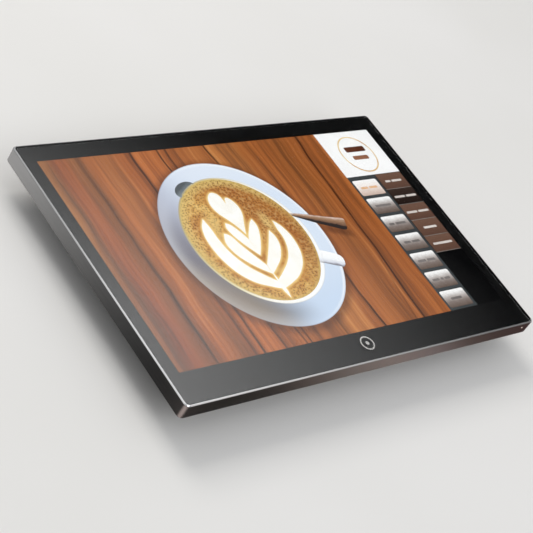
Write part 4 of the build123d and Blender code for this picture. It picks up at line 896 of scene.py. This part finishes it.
softbox("key_softbox", (-0.2, 1.3, 1.4), (0, 0, 0), 0.9, 0.9, 15, (1.0, 0.98, 0.95))
softbox("fill_softbox", (-0.2, -1.3, 1.2), (0, 0, 0), 0.9, 0.9, 6, (0.95, 0.97, 1.0))

# Camera: place and turn of the photograph's camera against the slab.
RIGHT = Vector((0.7102, -0.5362, 0.4561))
DOWN = Vector((-0.1238, -0.7330, -0.6688))
AHEAD = Vector((0.6930, 0.4186, -0.5870))
EYE = Vector((-752.8, -456.6 + 5.2, 607.0 + 31.1)) * MM
camera = bpy.data.objects.new("camera", bpy.data.cameras.new("camera"))
bpy.context.scene.collection.objects.link(camera)
camera.data.sensor_width = 36.0
camera.data.lens = camera.data.sensor_width * FOCAL / PHOTO_WIDTH
turn = Matrix((RIGHT, -DOWN, -AHEAD)).transposed().to_4x4()
camera.matrix_world = Matrix.Translation(EYE) @ turn
camera.data.clip_start, camera.data.clip_end = 0.05, 20
bpy.context.scene.camera = camera


def seen_in_glass(x, y, height):
    """Where the camera's ray through a point of the glass arrives after reflection, at that height."""
    glass = glass_high.z
    mirrored_eye = Vector((EYE.x, EYE.y, 2 * glass - EYE.z))
    step = (height - mirrored_eye.z) / (glass - mirrored_eye.z)
    return mirrored_eye.x + step * (x - mirrored_eye.x), mirrored_eye.y + step * (y - mirrored_eye.y), step


def card(name, corners, tree, colour, strength):
    """Graded panel that only reflections see."""
    mesh = bpy.data.meshes.new(name)
    mesh.from_pydata(corners, [], [(0, 1, 2, 3)])
    panel = bpy.data.objects.new(name, mesh)
    bpy.context.scene.collection.objects.link(panel)
    glow = tree.new("ShaderNodeEmission")
    tree.feed(glow.inputs["Color"], colour)
    tree.feed(glow.inputs["Strength"], strength)
    tree.tree.links.new(glow.outputs[0], tree.output.inputs[0])
    mesh.materials.append(tree.material)
    panel.visible_camera = panel.visible_diffuse = panel.visible_shadow = False
    return panel


def flat_corners(low_x, low_y, high_x, high_y, z):
    return [(low_x, low_y, z), (high_x, low_y, z), (high_x, high_y, z), (low_x, high_y, z)]


# Graded card over the glass: the pale sheen that fades from the lower left corner.
CARD_Z = 1.5
mid_x, mid_y, spread = seen_in_glass(0, 0, CARD_Z)
t = Tree("sheen_card")
x, y, _ = t.split(t.place)
glass_x = t.math("DIVIDE", t.math("SUBTRACT", x, mid_x), spread * MM)
glass_y = t.math("DIVIDE", t.math("SUBTRACT", y, mid_y), spread * MM)
lift = t.math("SMOOTH_MAX", t.math("ADD", glass_y, 45.0), 0.0, 30.0)
along = t.math("ADD", t.math("ADD", glass_x, 160.0), lift)
value = t.math("MAXIMUM", t.math("SUBTRACT", 115.5, t.math("MULTIPLY", along, 0.303)), 10.0)
value = t.math("MINIMUM", value, 124.0)
power = t.math("MAXIMUM", t.math("SUBTRACT", t.math("POWER", t.math("DIVIDE", value, 255.0), 2.2), 0.0032), 0.0010)
SHEEN = 8.8
card("sheen_card", flat_corners(mid_x - 1.6, mid_y - 1.6, mid_x + 1.6, mid_y + 1.6, CARD_Z), t,
     (1.0, 1.0, 1.0, 1), t.math("MULTIPLY", power, SHEEN))

# Graded cards beside the side walls, just over the floor. The corner between the walls sees a lighter patch.
t = Tree("left_wall_card")
x, y, _ = t.split(t.place)
along = t.span(y, -62 * MM, 113 * MM, 32 / 255, 158 / 255, smooth=False)
card("left_wall_card", flat_corners(-0.6, -0.4, -0.168, 0.5, 0.0006), t, (1.0, 1.0, 1.0, 1),
     t.math("MULTIPLY", t.math("POWER", along, 2.2), 4.8))
t = Tree("bottom_wall_card")
x, y, _ = t.split(t.place)
tones = t.ramp(t.span(x, -0.15, 0.2, smooth=False),
               (0.0, srgb(22, 18, 16)), (0.12, srgb(24, 21, 18)), (0.23, srgb(40, 35, 33)), (0.34, srgb(74, 65, 61)),
               (0.46, srgb(99, 90, 86)), (0.57, srgb(112, 100, 96)), (0.69, srgb(98, 87, 86)), (0.8, srgb(66, 54, 50)),
               (0.9, srgb(54, 40, 37)), (1.0, srgb(50, 32, 31)))
tones = t.mix(t.span(x, -160 * MM, -172 * MM), tones, srgb(164, 150, 146))
card("bottom_wall_card", flat_corners(-0.5, -0.7, 0.6, -0.108, 0.0008), t, tones, 4.8)

# Cards that the bright chamfers see. Their edges fade into the surroundings.
AROUND = 0.55


def window(tree, value, low, high, soft):
    return tree.math("MULTIPLY", tree.span(value, low, low + soft), tree.span(value, high, high - soft))


t = Tree("left_chamfer_card")
x, y, z = t.split(t.place)
fade = t.span(y, 0.36, 0.475, 1.25, 0.5)
inside = t.math("MULTIPLY", window(t, y, -0.1, 0.8, 0.12), window(t, z, 0.5, 0.86, 0.06))
glow = t.math("ADD", AROUND, t.math("MULTIPLY", inside, t.math("SUBTRACT", fade, AROUND)))
card("left_chamfer_card", [(-0.7, -0.1, 0.5), (-0.7, 0.8, 0.5), (-0.7, 0.8, 0.86), (-0.7, -0.1, 0.86)], t,
     (1.0, 1.0, 1.0, 1), glow)
t = Tree("bottom_chamfer_card")
x, y, z = t.split(t.place)
fade = t.span(x, 0.5, 0.95, 1.15, 0.12, smooth=False)
inside = t.math("MULTIPLY", window(t, x, 0.3, 1.2, 0.12), window(t, z, 0.3, 0.6, 0.06))
glow = t.math("ADD", AROUND, t.math("MULTIPLY", inside, t.math("SUBTRACT", fade, AROUND)))
card("bottom_chamfer_card", [(0.3, -0.7, 0.3), (1.2, -0.7, 0.3), (1.2, -0.7, 0.6), (0.3, -0.7, 0.6)], t,
     (1.0, 0.98, 0.97, 1), glow)

bpy.context.scene.view_settings.view_transform = "Standard"
